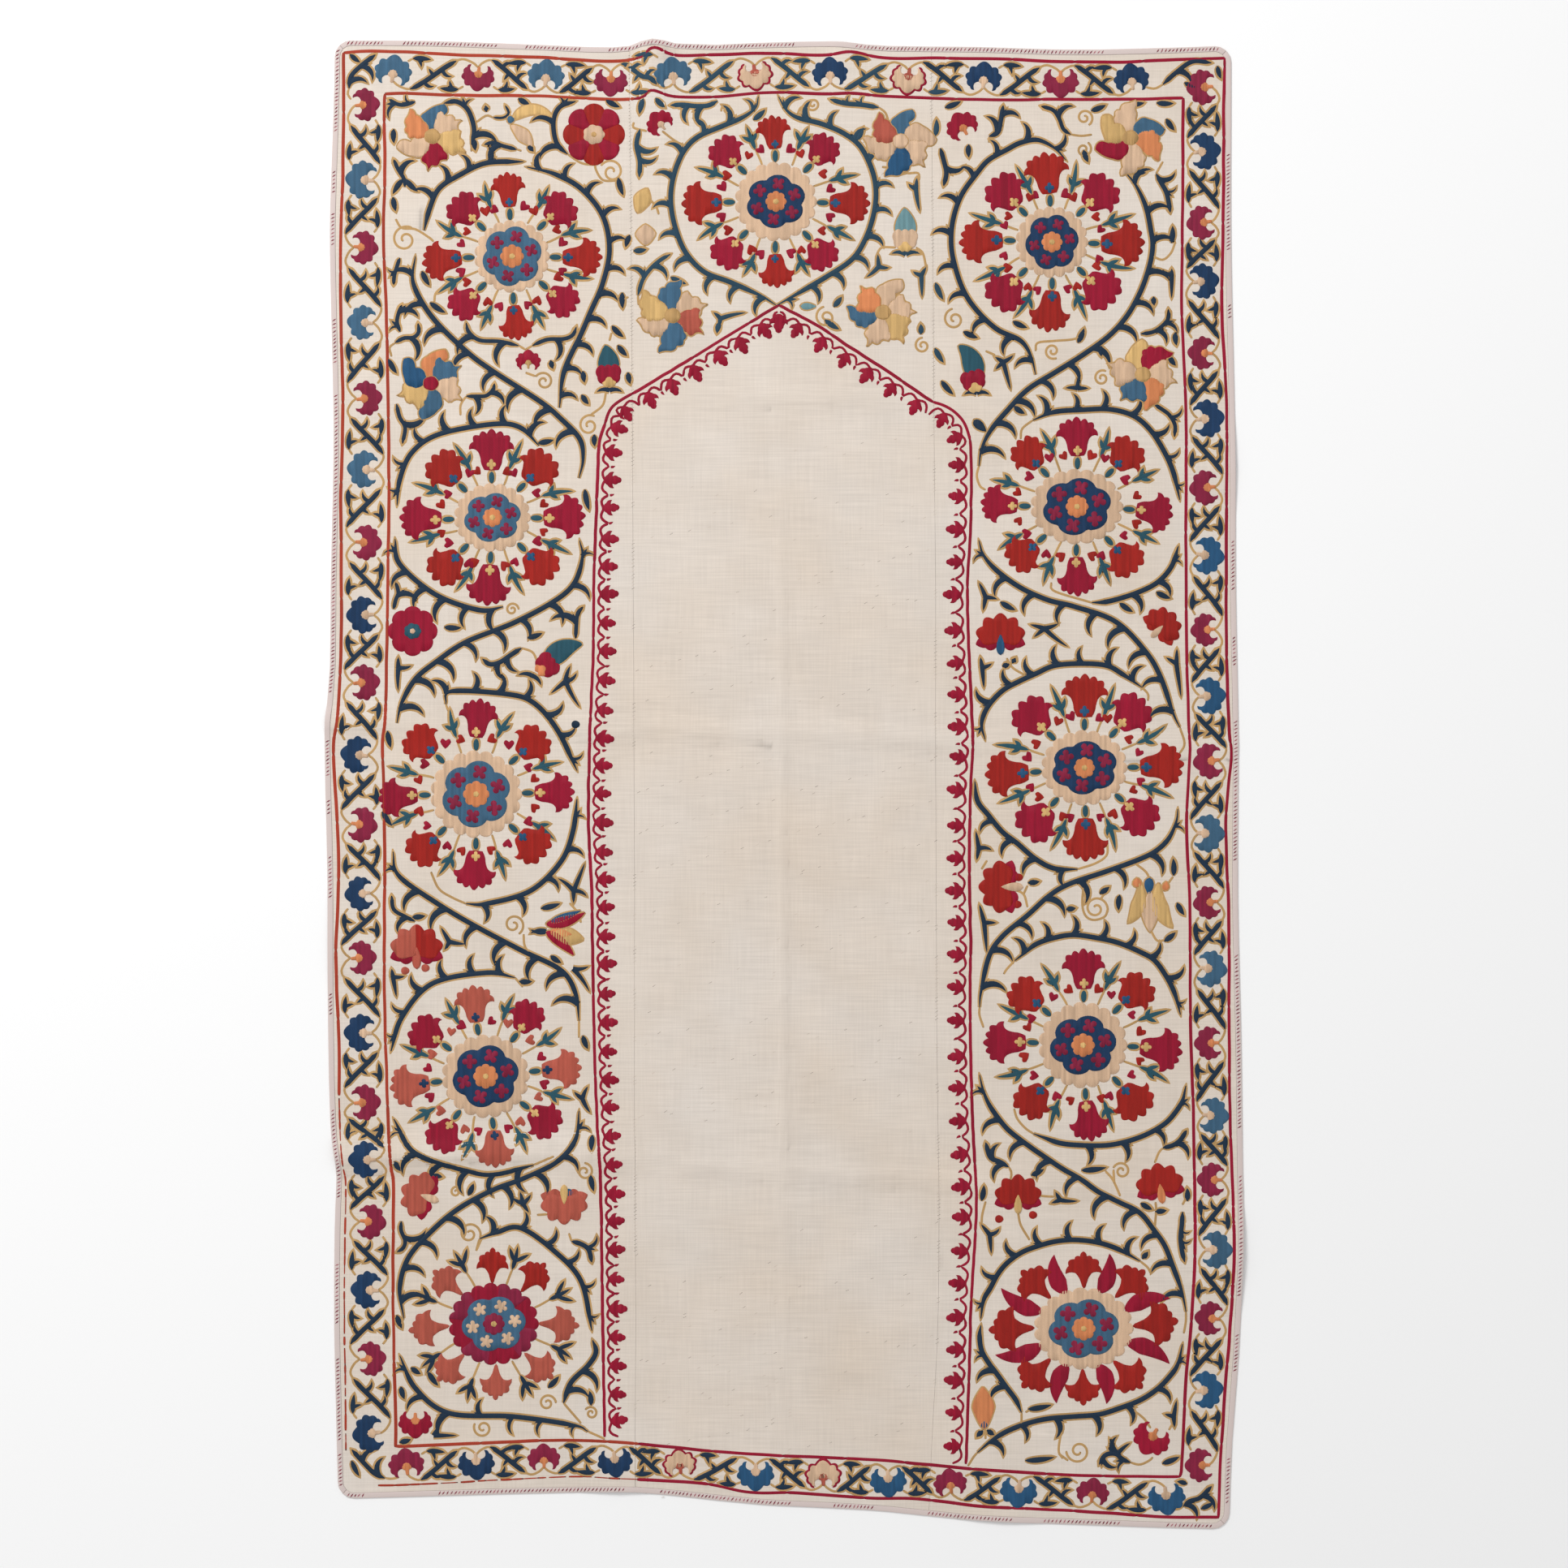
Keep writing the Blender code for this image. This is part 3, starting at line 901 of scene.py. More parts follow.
# Each side's flowers from its low end: the silk and the place along the side.
BORDER_FLOWERS = {
    "left": [
        ("indigo", -960), ("magenta", -850), ("indigo", -748), ("magenta", -647), ("indigo", -555),
        ("magenta", -471), ("indigo", -368), ("magenta", -257), ("indigo", -162), ("magenta", -60),
        ("indigo", 43), ("magenta", 150), ("indigo", 250), ("magenta", 357), ("sky", 465),
        ("magenta", 570), ("sky", 682), ("magenta", 793), ("sky", 893), ("magenta", 1004)],
    "right": [
        ("magenta", -1007), ("azure", -896), ("magenta", -790), ("sky", -688), ("magenta", -585),
        ("sky", -490), ("magenta", -383), ("sky", -273), ("magenta", -175), ("sky", -73), ("magenta", 34),
        ("azure", 130), ("magenta", 228), ("azure", 338), ("magenta", 438), ("indigo", 540),
        ("magenta", 637), ("indigo", 743), ("magenta", 830), ("indigo", 935), ("magenta", 1030)],
    "top": [
        ("sky", -578), ("magenta", -452), ("sky", -352), ("magenta", -256), ("sky", -164), ("tan", -43),
        ("indigo", 68), ("tan", 184), ("indigo", 295), ("magenta", 409), ("indigo", 514)],
    "bottom": [
        ("magenta", -558), ("indigo", -455), ("magenta", -355), ("indigo", -250), ("tan", -154),
        ("azure", -42), ("tan", 58), ("azure", 154), ("magenta", 246), ("azure", 347), ("magenta", 456),
        ("azure", 565)],
}
INWARD_FLOWERS = ("magenta", "tan")

# Left of this place the lines are of another red, and below this height the left outer one is worn.
LINE_RED_ENDS = -222
WORN_BELOW = -480

# The ways along a side and out of it, in degrees.
HEADINGS = {"left": (90, 180), "right": (90, 0), "top": (0, 90), "bottom": (0, -90)}


def band_spot(side, along, across):
    """A place in a side's border: along it, and across it from -1 at the inner line to 1 at the outer one."""
    inner, outer = (float(np.interp(along, *BANDS[side, line])) for line in ("inner", "outer"))
    reach = inner + (outer - inner) * (across + 1) / 2
    return (reach, along) if SIDES[side]["along"] else (along, reach)


def mirrored(half):
    """The rows of a scalloped outline from its left half, given from its foot on the middle line."""
    return half + [(-half[i][0], half[i][1], half[i - 1][2]) for i in range(len(half) - 1, 0, -1)]


PALMETTE = scallops(mirrored([
    (0, -4, 0.0), (-6, -4, -0.34), (-13, -17, 0.24), (-20, -12, 0.24), (-24.5, -2, 0.36), (-22, 10, 0.36),
    (-12, 18, 0.36)]))
CALYX = scallops(mirrored([
    (0, -15, 0.0), (-2.4, -14, 0.0), (-3, -7, 0.0), (-6.6, -5, 0.2), (-5.5, 1, 0.25),
    (-1.8, 4, 0.3)]), step=1.8)
PAINTED = {"magenta": "orange", "tan": "salmon"}


class SUZANI_OT_border(bpy.types.Operator):
    """Embroider the border: its lines, its winding stem and its flowers"""

    bl_idname = "suzani.border"
    bl_label = "Border"

    def execute(self, context):
        tree = cloth_tree()
        for side in SIDES:
            self.lines(side, tree)
            self.flowers(side, tree)
        corners = Needlework("border_corners", tree)
        for row in CORNER_STEMS:
            grow(corners, row, inside=False)
        for row in CORNER_LEAVES:
            corners.bordered(middled(row), 8.6, "navy", leaf)
        corners.finish()
        return {"FINISHED"}

    def lines(self, side, tree):
        """One side's two lines. On the left width of the cloth they are of another red."""
        work = Needlework(f"border_lines_{side}", tree)
        for row in BORDER_LINES:
            if row["side"] != side:
                continue
            places = np.array(row["places"], float)
            line = through(places[:, ::-1] if SIDES[side]["along"] else places, 8.0)
            change = 0 if SIDES[side]["along"] else int((line[:, 0] < LINE_RED_ENDS).sum())
            for part, silk in ((line[: change + 1], "line_red"), (line[change:], row["silk"])):
                if len(part) > 2:
                    worn = row["line"] == "outer" and silk == "line_red"
                    long_line(work, part, BORDER_LINE, silk, worn_below=WORN_BELOW if worn else None)
        work.finish()

    def flowers(self, side, tree):
        work = Needlework(f"border_flowers_{side}", tree)
        ahead, outward = HEADINGS[side]
        turning = 1 if (outward - ahead) % 360 == 90 else -1
        flowers = BORDER_FLOWERS[side]
        for i, (silk, at) in enumerate(flowers):
            lobes_out = -1 if silk in INWARD_FLOWERS else 1
            self.flower(work, side, silk, at, lobes_out)
            ways = [way for way in (1, -1) if 0 <= i + way < len(flowers)]
            self.leaves(work, side, at, lobes_out, ahead, turning, ways)
            if i + 1 < len(flowers):
                self.stem(work, side, at, flowers[i + 1][1], -lobes_out, ahead, turning)
        work.finish()

    def flower(self, work, side, silk, at, lobes_out):
        outward = HEADINGS[side][1]
        x, y = band_spot(side, at, 0.0)
        turn = outward - 90 if lobes_out == 1 else outward + 90
        size = 0.95 if silk in INWARD_FLOWERS else 1.0
        size *= work.draw.uniform(0.94, 1.04)
        turn += work.draw.uniform(-9, 9)
        if silk == "tan":
            work.couch(placed(PALMETTE, x, y, turn, size * 1.03), "crimson")
            work.couch(placed(PALMETTE, x, y, turn, size * 0.9), "tan", layer=1)
        else:
            work.couch(placed(PALMETTE, x, y, turn, size), silk)
        work.couch(placed(CALYX, x, y, turn, size), PAINTED.get(silk, "tan"), layer=1)

    def stem(self, work, side, at, following, calyx_side, ahead, turning):
        """The stem from one flower's calyx to the next one's, on the other side of the border."""
        span = following - at
        knots = [
            (0.0, 0.4), (0.07, 0.64), (0.2, 0.78), (0.36, 0.42), (0.5, 0.0),
            (0.64, -0.42), (0.8, -0.78), (0.93, -0.64), (1.0, -0.4)]
        line = through([band_spot(side, at + t * span, across * calyx_side) for t, across in knots])
        count = len(line)
        work.gold(line)
        silk = self.stem_silk(side, line[count // 2][0])
        work.bordered(line[int(count * 0.2): int(count * 0.76)], 8.4, silk, stem)
        for t, lean, span in ((0.36, 68, 18), (0.58, 80, 20)):
            x, y = line[int(count * t)]
            heading = ahead + turning * calyx_side * lean
            work.bordered(hooked(x, y, heading, span, -turning * calyx_side * 95), 7.6, silk, horn)
        x, y = line[int(count * 0.46)]
        work.bordered(hooked(x, y, ahead - turning * calyx_side * 125, 13, 0), 6.6, silk, horn)

    def stem_silk(self, side, x):
        """The stems over the middle of the top are worked in a paler blue."""
        return "slate" if side == "top" and part_of_cloth(x) == "top" else "navy"

    def leaves(self, work, side, at, lobes_out, ahead, turning, ways):
        """A leaf with a smaller one on it beyond the ends of a flower's lobes."""
        for way in ways:
            heading = ahead if way == 1 else ahead + 180
            lean = turning * way * lobes_out
            reach = work.draw.uniform(25, 30)
            foot = band_spot(side, at + way * 22, lobes_out * 0.55)
            spot = band_spot(side, at + way * 29, lobes_out * 0.7)
            work.gold(evenly([foot, spot], 2.5))
            main = hooked(*spot, heading + lean * 4, reach, -lean * 16)
            silk = self.stem_silk(side, spot[0])
            work.bordered(main, 8.8, silk, leaf)
            work.bordered(hooked(*main[len(main) // 3], heading - lean * 48, 15, -lean * 45), 6.8, silk, horn)


def long_line(work, line, width, silk, wander=0.7, worn_below=None):
    """A long line in chain stitch, worked in short runs end to end, a little unsteady as sewing by hand is.

    Where it lies lower than worn_below it has lost stitches: it is thin there, and broken."""
    side = sideways(line)
    seed = work.draw.uniform(0, 90)
    shift = [wander * noise.noise(Vector((i / 5, seed, 0.3))) for i in range(len(line))]
    line = evenly(line + side * np.array(shift)[:, None], 4.2)
    first = 0
    while first < len(line) - 2:
        worn = worn_below is not None and line[first][1] < worn_below
        count = work.draw.randint(3, 6) if worn else work.draw.randint(20, 30)
        last = min(first + count, len(line) - 1)
        if len(line) - 1 - last < 3:
            last = len(line) - 1
        thin = work.draw.uniform(0.35, 0.75) if worn else work.draw.uniform(0.93, 1.07)
        work.chain(line[first: last + 1], width * thin, silk, even)
        first = last + (work.draw.randint(0, 1) if worn else 0)


def middled(row):
    """The line of a leaf that is given by its middle."""
    angle = math.radians(row.heading)
    x = row.x - math.cos(angle) * row.length / 2
    y = row.y - math.sin(angle) * row.length / 2
    return hooked(x, y, row.heading, row.length, 14)


def clear(x, y, room=6):
    """Whether a place lies inside the border and outside the niche, with some millimetres of room."""
    left, right = (np.interp(y, *BANDS[side, "inner"]) for side in ("left", "right"))
    bottom, top = (np.interp(x, *BANDS[side, "inner"]) for side in ("bottom", "top"))
    niche = [np.interp(y, *NICHE_EDGE[side]) for side in ("left", "right")]
    in_niche = y < NICHE_POINT and niche[0] - room < x < niche[1] + room
    return left + room < x < right - room and bottom + room < y < top - room and not in_niche


def grow(work, row, silk="navy", inside=True):
    """A vine or sprig from its gold foot to its tip. Its thorns keep inside the border's lines."""
    line = through(row.points)
    if row.gold:
        work.gold(through([*row.gold, row.points[0]]), STITCH_RISE)
    work.bordered(line, row.width, silk, stem, rise=0.95 * MM)
    steps = np.gradient(line, axis=0)
    for i, thorn in enumerate(row.thorns):
        if thorn == "-":
            continue
        at = int((i + 0.5) / len(row.thorns) * (len(line) - 1))
        side = 1 if thorn.islower() else -1
        heading = math.degrees(math.atan2(steps[at][1], steps[at][0]))
        span, width = THORNS[thorn.lower()]
        share = min(1.0, row.width / 7) * work.draw.uniform(0.88, 1.1)
        lean = 38 + work.draw.uniform(-7, 7)
        x, y = line[at]
        for shrink in (1.0, 0.82, 0.66, 0.5):
            thorn_line = hooked(x, y, heading + side * lean, span * share * shrink, side * 105)
            if clear(*thorn_line[-1]) or not inside:
                break
        work.bordered(thorn_line, width * share * shrink, silk, horn)
        work.bordered(hooked(x, y, heading + side * 22, 14 * share, side * 8), 6.2 * share, silk, horn)


# The niche. Its line runs from one foot over the point to the other.

NICHE_LEFT = [
    (-265, -965), (-268, -800), (-271, -600), (-276, -500), (-280, -400), (-283, -240), (-284, -160),
    (-289, -60), (-288, 40), (-286, 100), (-282, 200), (-281, 300), (-276, 440), (-274, 495), (-271, 514),
    (-265, 532), (-258, 551), (-249, 562), (-224, 577)]
NICHE_RIGHT = [
    (220, 565), (240, 558), (262, 540), (272, 520), (276, 500), (277, 440), (275, 360), (271, 280),
    (275, 160), (279, 60), (276, 0), (274, -120), (276, -240), (275, -320), (278, -480), (284, -600),
    (283, -660), (277, -760), (274, -860), (269, -1005)]
LEFT_SLOPE = [(-224, 577), (-170, 609), (-116, 642), (-62, 675), (-8, 708)]
RIGHT_SLOPE = [(-8, 708), (52, 676), (100, 644), (150, 612), (200, 578), (220, 565)]
NICHE_POINT = 708
NICHE_EDGE = {
    "left": np.array(NICHE_LEFT + LEFT_SLOPE[1:], float)[:, ::-1].T,
    "right": np.array(RIGHT_SLOPE[:-1] + NICHE_RIGHT, float)[::-1, ::-1].T,
}
# The waves are counted from the start of each run. There is a bud at each half wave, and a small tail at
# each whole one.
NICHE_RUNS = [
    {"name": "left", "points": NICHE_LEFT, "first": 0.0, "last": 37.0},
    {"name": "left_slope", "points": LEFT_SLOPE, "first": 0.0, "last": 6.5},
    {"name": "right_slope", "points": RIGHT_SLOPE, "first": 0.5, "last": 7.0},
    {"name": "right", "points": NICHE_RIGHT, "first": 0.0, "last": 33.0},
]
NICHE_BUD = scallops(mirrored([
    (0, 0, 0.0), (-2.4, 0, 0.1), (-8, 5, 0.2), (-12, 15, -0.12), (-5.6, 12.5, 0.22), (-4.6, 21, 0.2),
    (-0.5, 26, 0.0)]))


class SUZANI_OT_niche(bpy.types.Operator):
    """Embroider the line of the niche, with its scallops and buds"""

    bl_idname = "suzani.niche"
    bl_label = "Niche"

    def execute(self, context):
        tree = cloth_tree()
        work = Needlework("niche_line", tree)
        buds = Needlework("niche_buds", tree)
        for run in NICHE_RUNS:
            line = through(run["points"], 3.2)
            long_line(work, line, NICHE_LINE, "crimson")
            self.scallops(work, buds, line, run)
        buds.couch(placed(NICHE_BUD, -8, 695, 180, 1.1), "crimson")
        work.finish()
        buds.finish()
        return {"FINISHED"}

    def scallops(self, work, buds, line, run):
        """A scalloped line inside the niche's own. Its notches have a bud and a small tail in turn."""
        first, last = run["first"], run["last"]
        wave = np.linspace(first, last, len(line))
        notch = 16 + 4 * np.cos(2 * np.pi * wave)
        depth = notch - (notch - 7) * abs(np.sin(2 * np.pi * wave)) ** 0.7
        inside = -sideways(line)
        edge_line = line + inside * depth[:, None]
        if "slope" in run["name"]:
            half = edge_line[:, 0] <= -8 if "left" in run["name"] else edge_line[:, 0] >= -8
            edge_line = edge_line[half]
        long_line(work, edge_line, SCALLOP_LINE, "crimson", wander=0.3)
        for k in range(math.ceil(first), int(last)):
            i = int(np.argmin(abs(wave - k - 0.5)))
            x, y = line[i] + inside[i] * 10
            turn = math.degrees(math.atan2(inside[i][1], inside[i][0])) - 90 + buds.draw.uniform(-8, 8)
            buds.couch(placed(NICHE_BUD, x, y, turn, buds.draw.uniform(0.9, 1.06)), "crimson")
            if k:
                i = int(np.argmin(abs(wave - k)))
                x, y = line[i] + inside[i] * 19
                work.chain(hooked(x, y, turn + 90, 7, 40, 2.0), SCALLOP_LINE, "crimson", horn)


# The medallions. A reach is how far the flowers come from the middle. The last column is the kind of flowers.

MEDALLION_COLUMNS = "name x y rosette ring reach turn blue axis between kind"
Medallion = namedtuple("Medallion", MEDALLION_COLUMNS, defaults=("tulips",))
MEDALLIONS = records(Medallion, [
    ("left_1", -402, 780, (45, 45), (56, 54), (135, 126), 0, "sky", "brick", "crimson"),
    ("left_2", -431, 394, (43, 37), (57, 51), (139, 132), 0, "sky", "crimson", "brick"),
    ("left_3", -455, -15, (52, 50), (68, 65), (147, 143), 0, "sky", "crimson", "brick"),
    ("left_4", -441, -432, (50, 47), (65, 62), (144, 137), 7, "indigo", "salmon", "crimson"),
    ("left_5", -429, -798, (48, 42), (67, 61), (129, 115), 2, "sky", "salmon", "salmon", "small"),
    ("top", -12, 861, (45, 40), (61, 59), (141, 129), -1, "indigo", "brick", "crimson"),
    ("right_1", 396, 801, (40, 42), (54, 53), (139, 135), 0, "indigo", "brick", "crimson"),
    ("right_2", 433, 410, (52, 43), (69, 56), (144, 134), 0, "indigo", "crimson", "brick"),
    ("right_3", 444, 24, (50, 40), (64, 56), (149, 140), 2, "indigo", "brick", "crimson"),
    ("right_4", 442, -386, (50, 45), (66, 64), (149, 144), 0, "indigo", "crimson", "brick"),
    ("right_5", 443, -805, (53, 45), (74, 61), (143, 116), 0, "sky", "brick", "brick", "commas"),
])
TULIP = scallops(mirrored([
    (0, -1, 0.0), (-12, 0, 0.05), (-18, 13, -0.05), (-22, 28, -0.2), (-38, 33, 0.2), (-31, 46, 0.44),
    (-21, 56, 0.42), (-8, 59, 0.5)]))
CARNATION = scallops(mirrored([
    (0, 0, 0.0), (-12, 1, 0.08), (-20, 11, 0.0), (-26, 20, -0.2), (-37, 19, 0.2), (-30, 33, 0.42),
    (-26, 48, 0.42), (-9, 52, 0.46)]))
SMALL_TULIP = scallops(mirrored([
    (0, 0, 0.0), (-2.4, 3, 0.0), (-5.5, 14, -0.04), (-11, 23, -0.14), (-24, 22, 0.12), (-20, 34, 0.34),
    (-12, 44, 0.32), (-4.5, 48, 0.16), (-0.4, 55, 0.0)]))
HEART = scallops(mirrored([(0, 0, 0.0), (-2.4, 2, 0.05), (-7.5, 9.5, 0.45), (-0.5, 11.5, 0.0)]), step=1.7)
ACCENT = lobed(9.0, 8.0, 4, 0.42, points=32)
CROSS = lobed(11.0, 11.0, 4, 0.5, points=40)
STAR = lobed(10.5, 10.5, 5, 0.46, points=40)


class SUZANI_OT_medallions(bpy.types.Operator):
    """Embroider the medallions: rosettes in scalloped rings, with flowers and leaf sprigs round them"""

    bl_idname = "suzani.medallions"
    bl_label = "Medallions"

    def execute(self, context):
        tree = cloth_tree()
        for row in MEDALLIONS:
            work = Needlework(f"medallion_{row.name}", tree)
            self.ring(work, row)
            self.rosette(work, row)
            for k in range(8):
                if row.kind == "tulips":
                    self.flower(work, row, k)
                    self.sprig(work, row, k)
                else:
                    self.small_flower(work, row, k)
            work.finish()
        return {"FINISHED"}

    def ring(self, work, row):
        wide, tall = row.ring
        outline = placed(lobed(wide, tall, 19, 0.09, points=152), row.x, row.y)
        if row.kind != "small":
            work.couch(outline, "tan")
            return
        work.couch(outline, "crimson")
        for k in range(4):
            wedge = [spot for spot in outline if abs(self.off(spot, row, 60 + 90 * k)) < 24]
            order = sorted(wedge, key=lambda spot: self.off(spot, row, 60 + 90 * k))
            work.couch([(row.x, row.y), *order], "magenta", layer=1)

    def off(self, spot, row, heading):
        """How many degrees a place lies off a heading from the medallion's middle."""
        angle = math.degrees(math.atan2(spot[1] - row.y, spot[0] - row.x))
        return (angle - heading + 180) % 360 - 180

    def rosette(self, work, row):
        wide, tall = row.rosette
        small = row.kind == "small"
        turn = work.draw.uniform(8, 24)
        blue = lobed(wide, tall, 6, 0.17, turn, points=84)
        base = 2 if small else 1
        work.couch(placed(blue, row.x, row.y), row.blue, layer=base)
        for k in range(6):
            angle = math.radians(turn + 60 * k)
            x = row.x + wide * 0.66 * math.cos(angle)
            y = row.y + tall * 0.66 * math.sin(angle)
            mark = placed(STAR if small else CROSS, x, y, turn + 60 * k + 45, wide / 48)
            work.couch(mark, "tan" if small else "magenta", layer=base + 1)
        heart = min(wide, tall) * 0.4
        core = placed(lobed(heart, heart, 8, 0.14, points=64), row.x, row.y)
        work.couch(core, "magenta" if small else "orange", layer=base + 1)
        work.couch(placed(lobed(4.8, 4.8, 5, 0.1, points=20), row.x, row.y), "mustard", layer=base + 2)

    def spot(self, row, heading, out, aside=0.0):
        """A place outside the medallion's ring, at a heading from its middle and aside from that."""
        angle = math.radians(heading)
        rim = self.rim(row, heading)[0]
        return (
            row.x + (rim + out) * math.cos(angle) + aside * math.sin(angle),
            row.y + (rim + out) * math.sin(angle) - aside * math.cos(angle),
        )

    def rim(self, row, heading):
        """How far the ring and the flowers reach from the medallion's middle at a heading."""
        x, y = onward(0, 0, heading, 1)
        return [wide * tall / math.hypot(tall * x, wide * y) for wide, tall in (row.ring, row.reach)]

    def flower(self, work, row, k):
        """A tulip beyond the ring, with a bud at its foot, a small bright mark and two hearts."""
        silk = row.axis if k % 2 == 0 else row.between
        other = row.between if k % 2 == 0 else row.axis
        heading = 90 - 45 * k + row.turn + work.draw.uniform(-3, 3)
        ring, reach = self.rim(row, heading)
        size = (reach - ring - 19) / 68
        foot = self.spot(row, heading, 19)
        outline = TULIP if k % 2 == 0 else CARNATION
        outline = outline * (work.draw.uniform(0.86, 0.96), 1.0)
        work.couch(placed(outline, *foot, heading - 90 + work.draw.uniform(-7, 7), size), silk)
        bright = "mustard" if silk == "crimson" else "indigo" if silk == "salmon" else "azure"
        work.couch(placed(ACCENT, *self.spot(row, heading, 19 + 9 * size), heading, size), bright, layer=1)
        bud = evenly([self.spot(row, heading, -1), self.spot(row, heading, 17)], 2.0)
        work.bordered(bud, 9.6, "teal", oval)
        for aside in (-1, 1):
            x, y = self.spot(row, heading, 13, aside * 16)
            turn = heading - 90 - aside * work.draw.uniform(30, 70)
            work.couch(placed(HEART, x, y, turn, work.draw.uniform(0.9, 1.12)), other)

    def sprig(self, work, row, k, silk="teal"):
        """A gold stalk from the ring that ends in three leaves."""
        heading = 67.5 - 45 * k + row.turn + work.draw.uniform(-3, 3)
        lean = heading + work.draw.uniform(-5, 5)
        stalk = hooked(*self.spot(row, heading, -1), lean, 24, work.draw.uniform(-14, 14))
        work.gold(stalk)
        ring, reach = self.rim(row, heading)
        small = row.kind == "small"
        long = 36 if small else reach - ring - 34
        x, y = stalk[-1]
        main = hooked(x, y, lean, long, work.draw.uniform(-22, 22))
        work.bordered(main, 8.8, silk, lance, rise=STITCH_RISE)
        x, y = main[min(3, len(main) - 1)]
        for way in (-1, 1):
            span = work.draw.uniform(22, 27) if small else work.draw.uniform(15, 19)
            side_leaf = hooked(x, y, lean + way * 42, span, -way * work.draw.uniform(-10, 20))
            work.bordered(side_leaf, 7.8, silk, leaf, rise=STITCH_RISE)

    def small_flower(self, work, row, k):
        """A narrow-footed flower on the ring, and the leaves or crimson comma beside it."""
        heading = 90 - 45 * k + row.turn + work.draw.uniform(-3, 3)
        ring, reach = self.rim(row, heading)
        size = (reach - ring + 1) / 56
        x, y = self.spot(row, heading, -2)
        silk = "brick" if k < 2 or row.kind == "commas" else "salmon"
        wide = np.array(SMALL_TULIP) * (1.12 if row.kind == "commas" else 1.0, 1.0)
        work.couch(placed(wide, x, y, heading - 90 + work.draw.uniform(-5, 5), size), silk)
        if row.kind == "small":
            self.sprig(work, row, k, "navy")
            return
        heading -= 22
        ring, reach = self.rim(row, heading)
        x, y = self.spot(row, heading, -5)
        comma = blade(reach - ring + 6, 25, (55, -55, -50, -60)[k % 4], comma_shape)
        work.couch(placed(comma, x, y, heading - 90), "crimson")


def blade(span, width, bend=0.0, profile=leaf, step=2.6):
    """The outline of a leaf or petal that grows upward from the origin and bends by degrees to the left."""
    line = hooked(0, 0, 90 - bend / 3, span, bend, step)
    half = sideways(line) * (width / 2 * profile(np.linspace(0, 1, len(line))))[:, None]
    return np.vstack([(line + half)[:-1], line[-1:], (line - half)[-2::-1]])


# The vines that wind round the medallions and the sprigs among them, in the direction in which they grow.

# Thorns are spread along a vine: f a short one, c a long one, small letters on its left and large ones on
# its right. A thorn has a length and a width. A vine's gold foot comes before its points.
THORNS = {"f": (32, 9.0), "c": (40, 9.8)}
Vine = namedtuple("Vine", "width thorns gold points")
Leaf = namedtuple("Leaf", "x y heading length")
Fork = namedtuple("Fork", "x y leaves")
Curl = namedtuple("Curl", "x y reach start way")

CORNER_STEMS = records(Vine, [
    (7.8, "F-F-", [(-640, 1012), (-645, 1020)], [(-643, 1028), (-640, 1046), (-626, 1061), (-604, 1078)]),
    (7.8, "F-F-", [(-570, -1025), (-580, -1027)], [
        (-590, -1026), (-604, -1020), (-615, -1010), (-639, -984)]),
    (7.8, "F-F-", [(572, -1072), (583, -1072)], [(590, -1068), (600, -1060), (615, -1055), (632, -1038)]),
    (7.8, "-F--", [(535, 1030), (548, 1028)], [(560, 1034), (580, 1052), (604, 1068), (632, 1066)]),
])
CORNER_LEAVES = records(Leaf, [
    (-635, 1072, -45, 20), (-635, -1012, -70, 26), (626, -1068, 20, 22), (589, -1032, 160, 16),
    (642, 1052, -80, 20), (600, 1032, -30, 20),
])
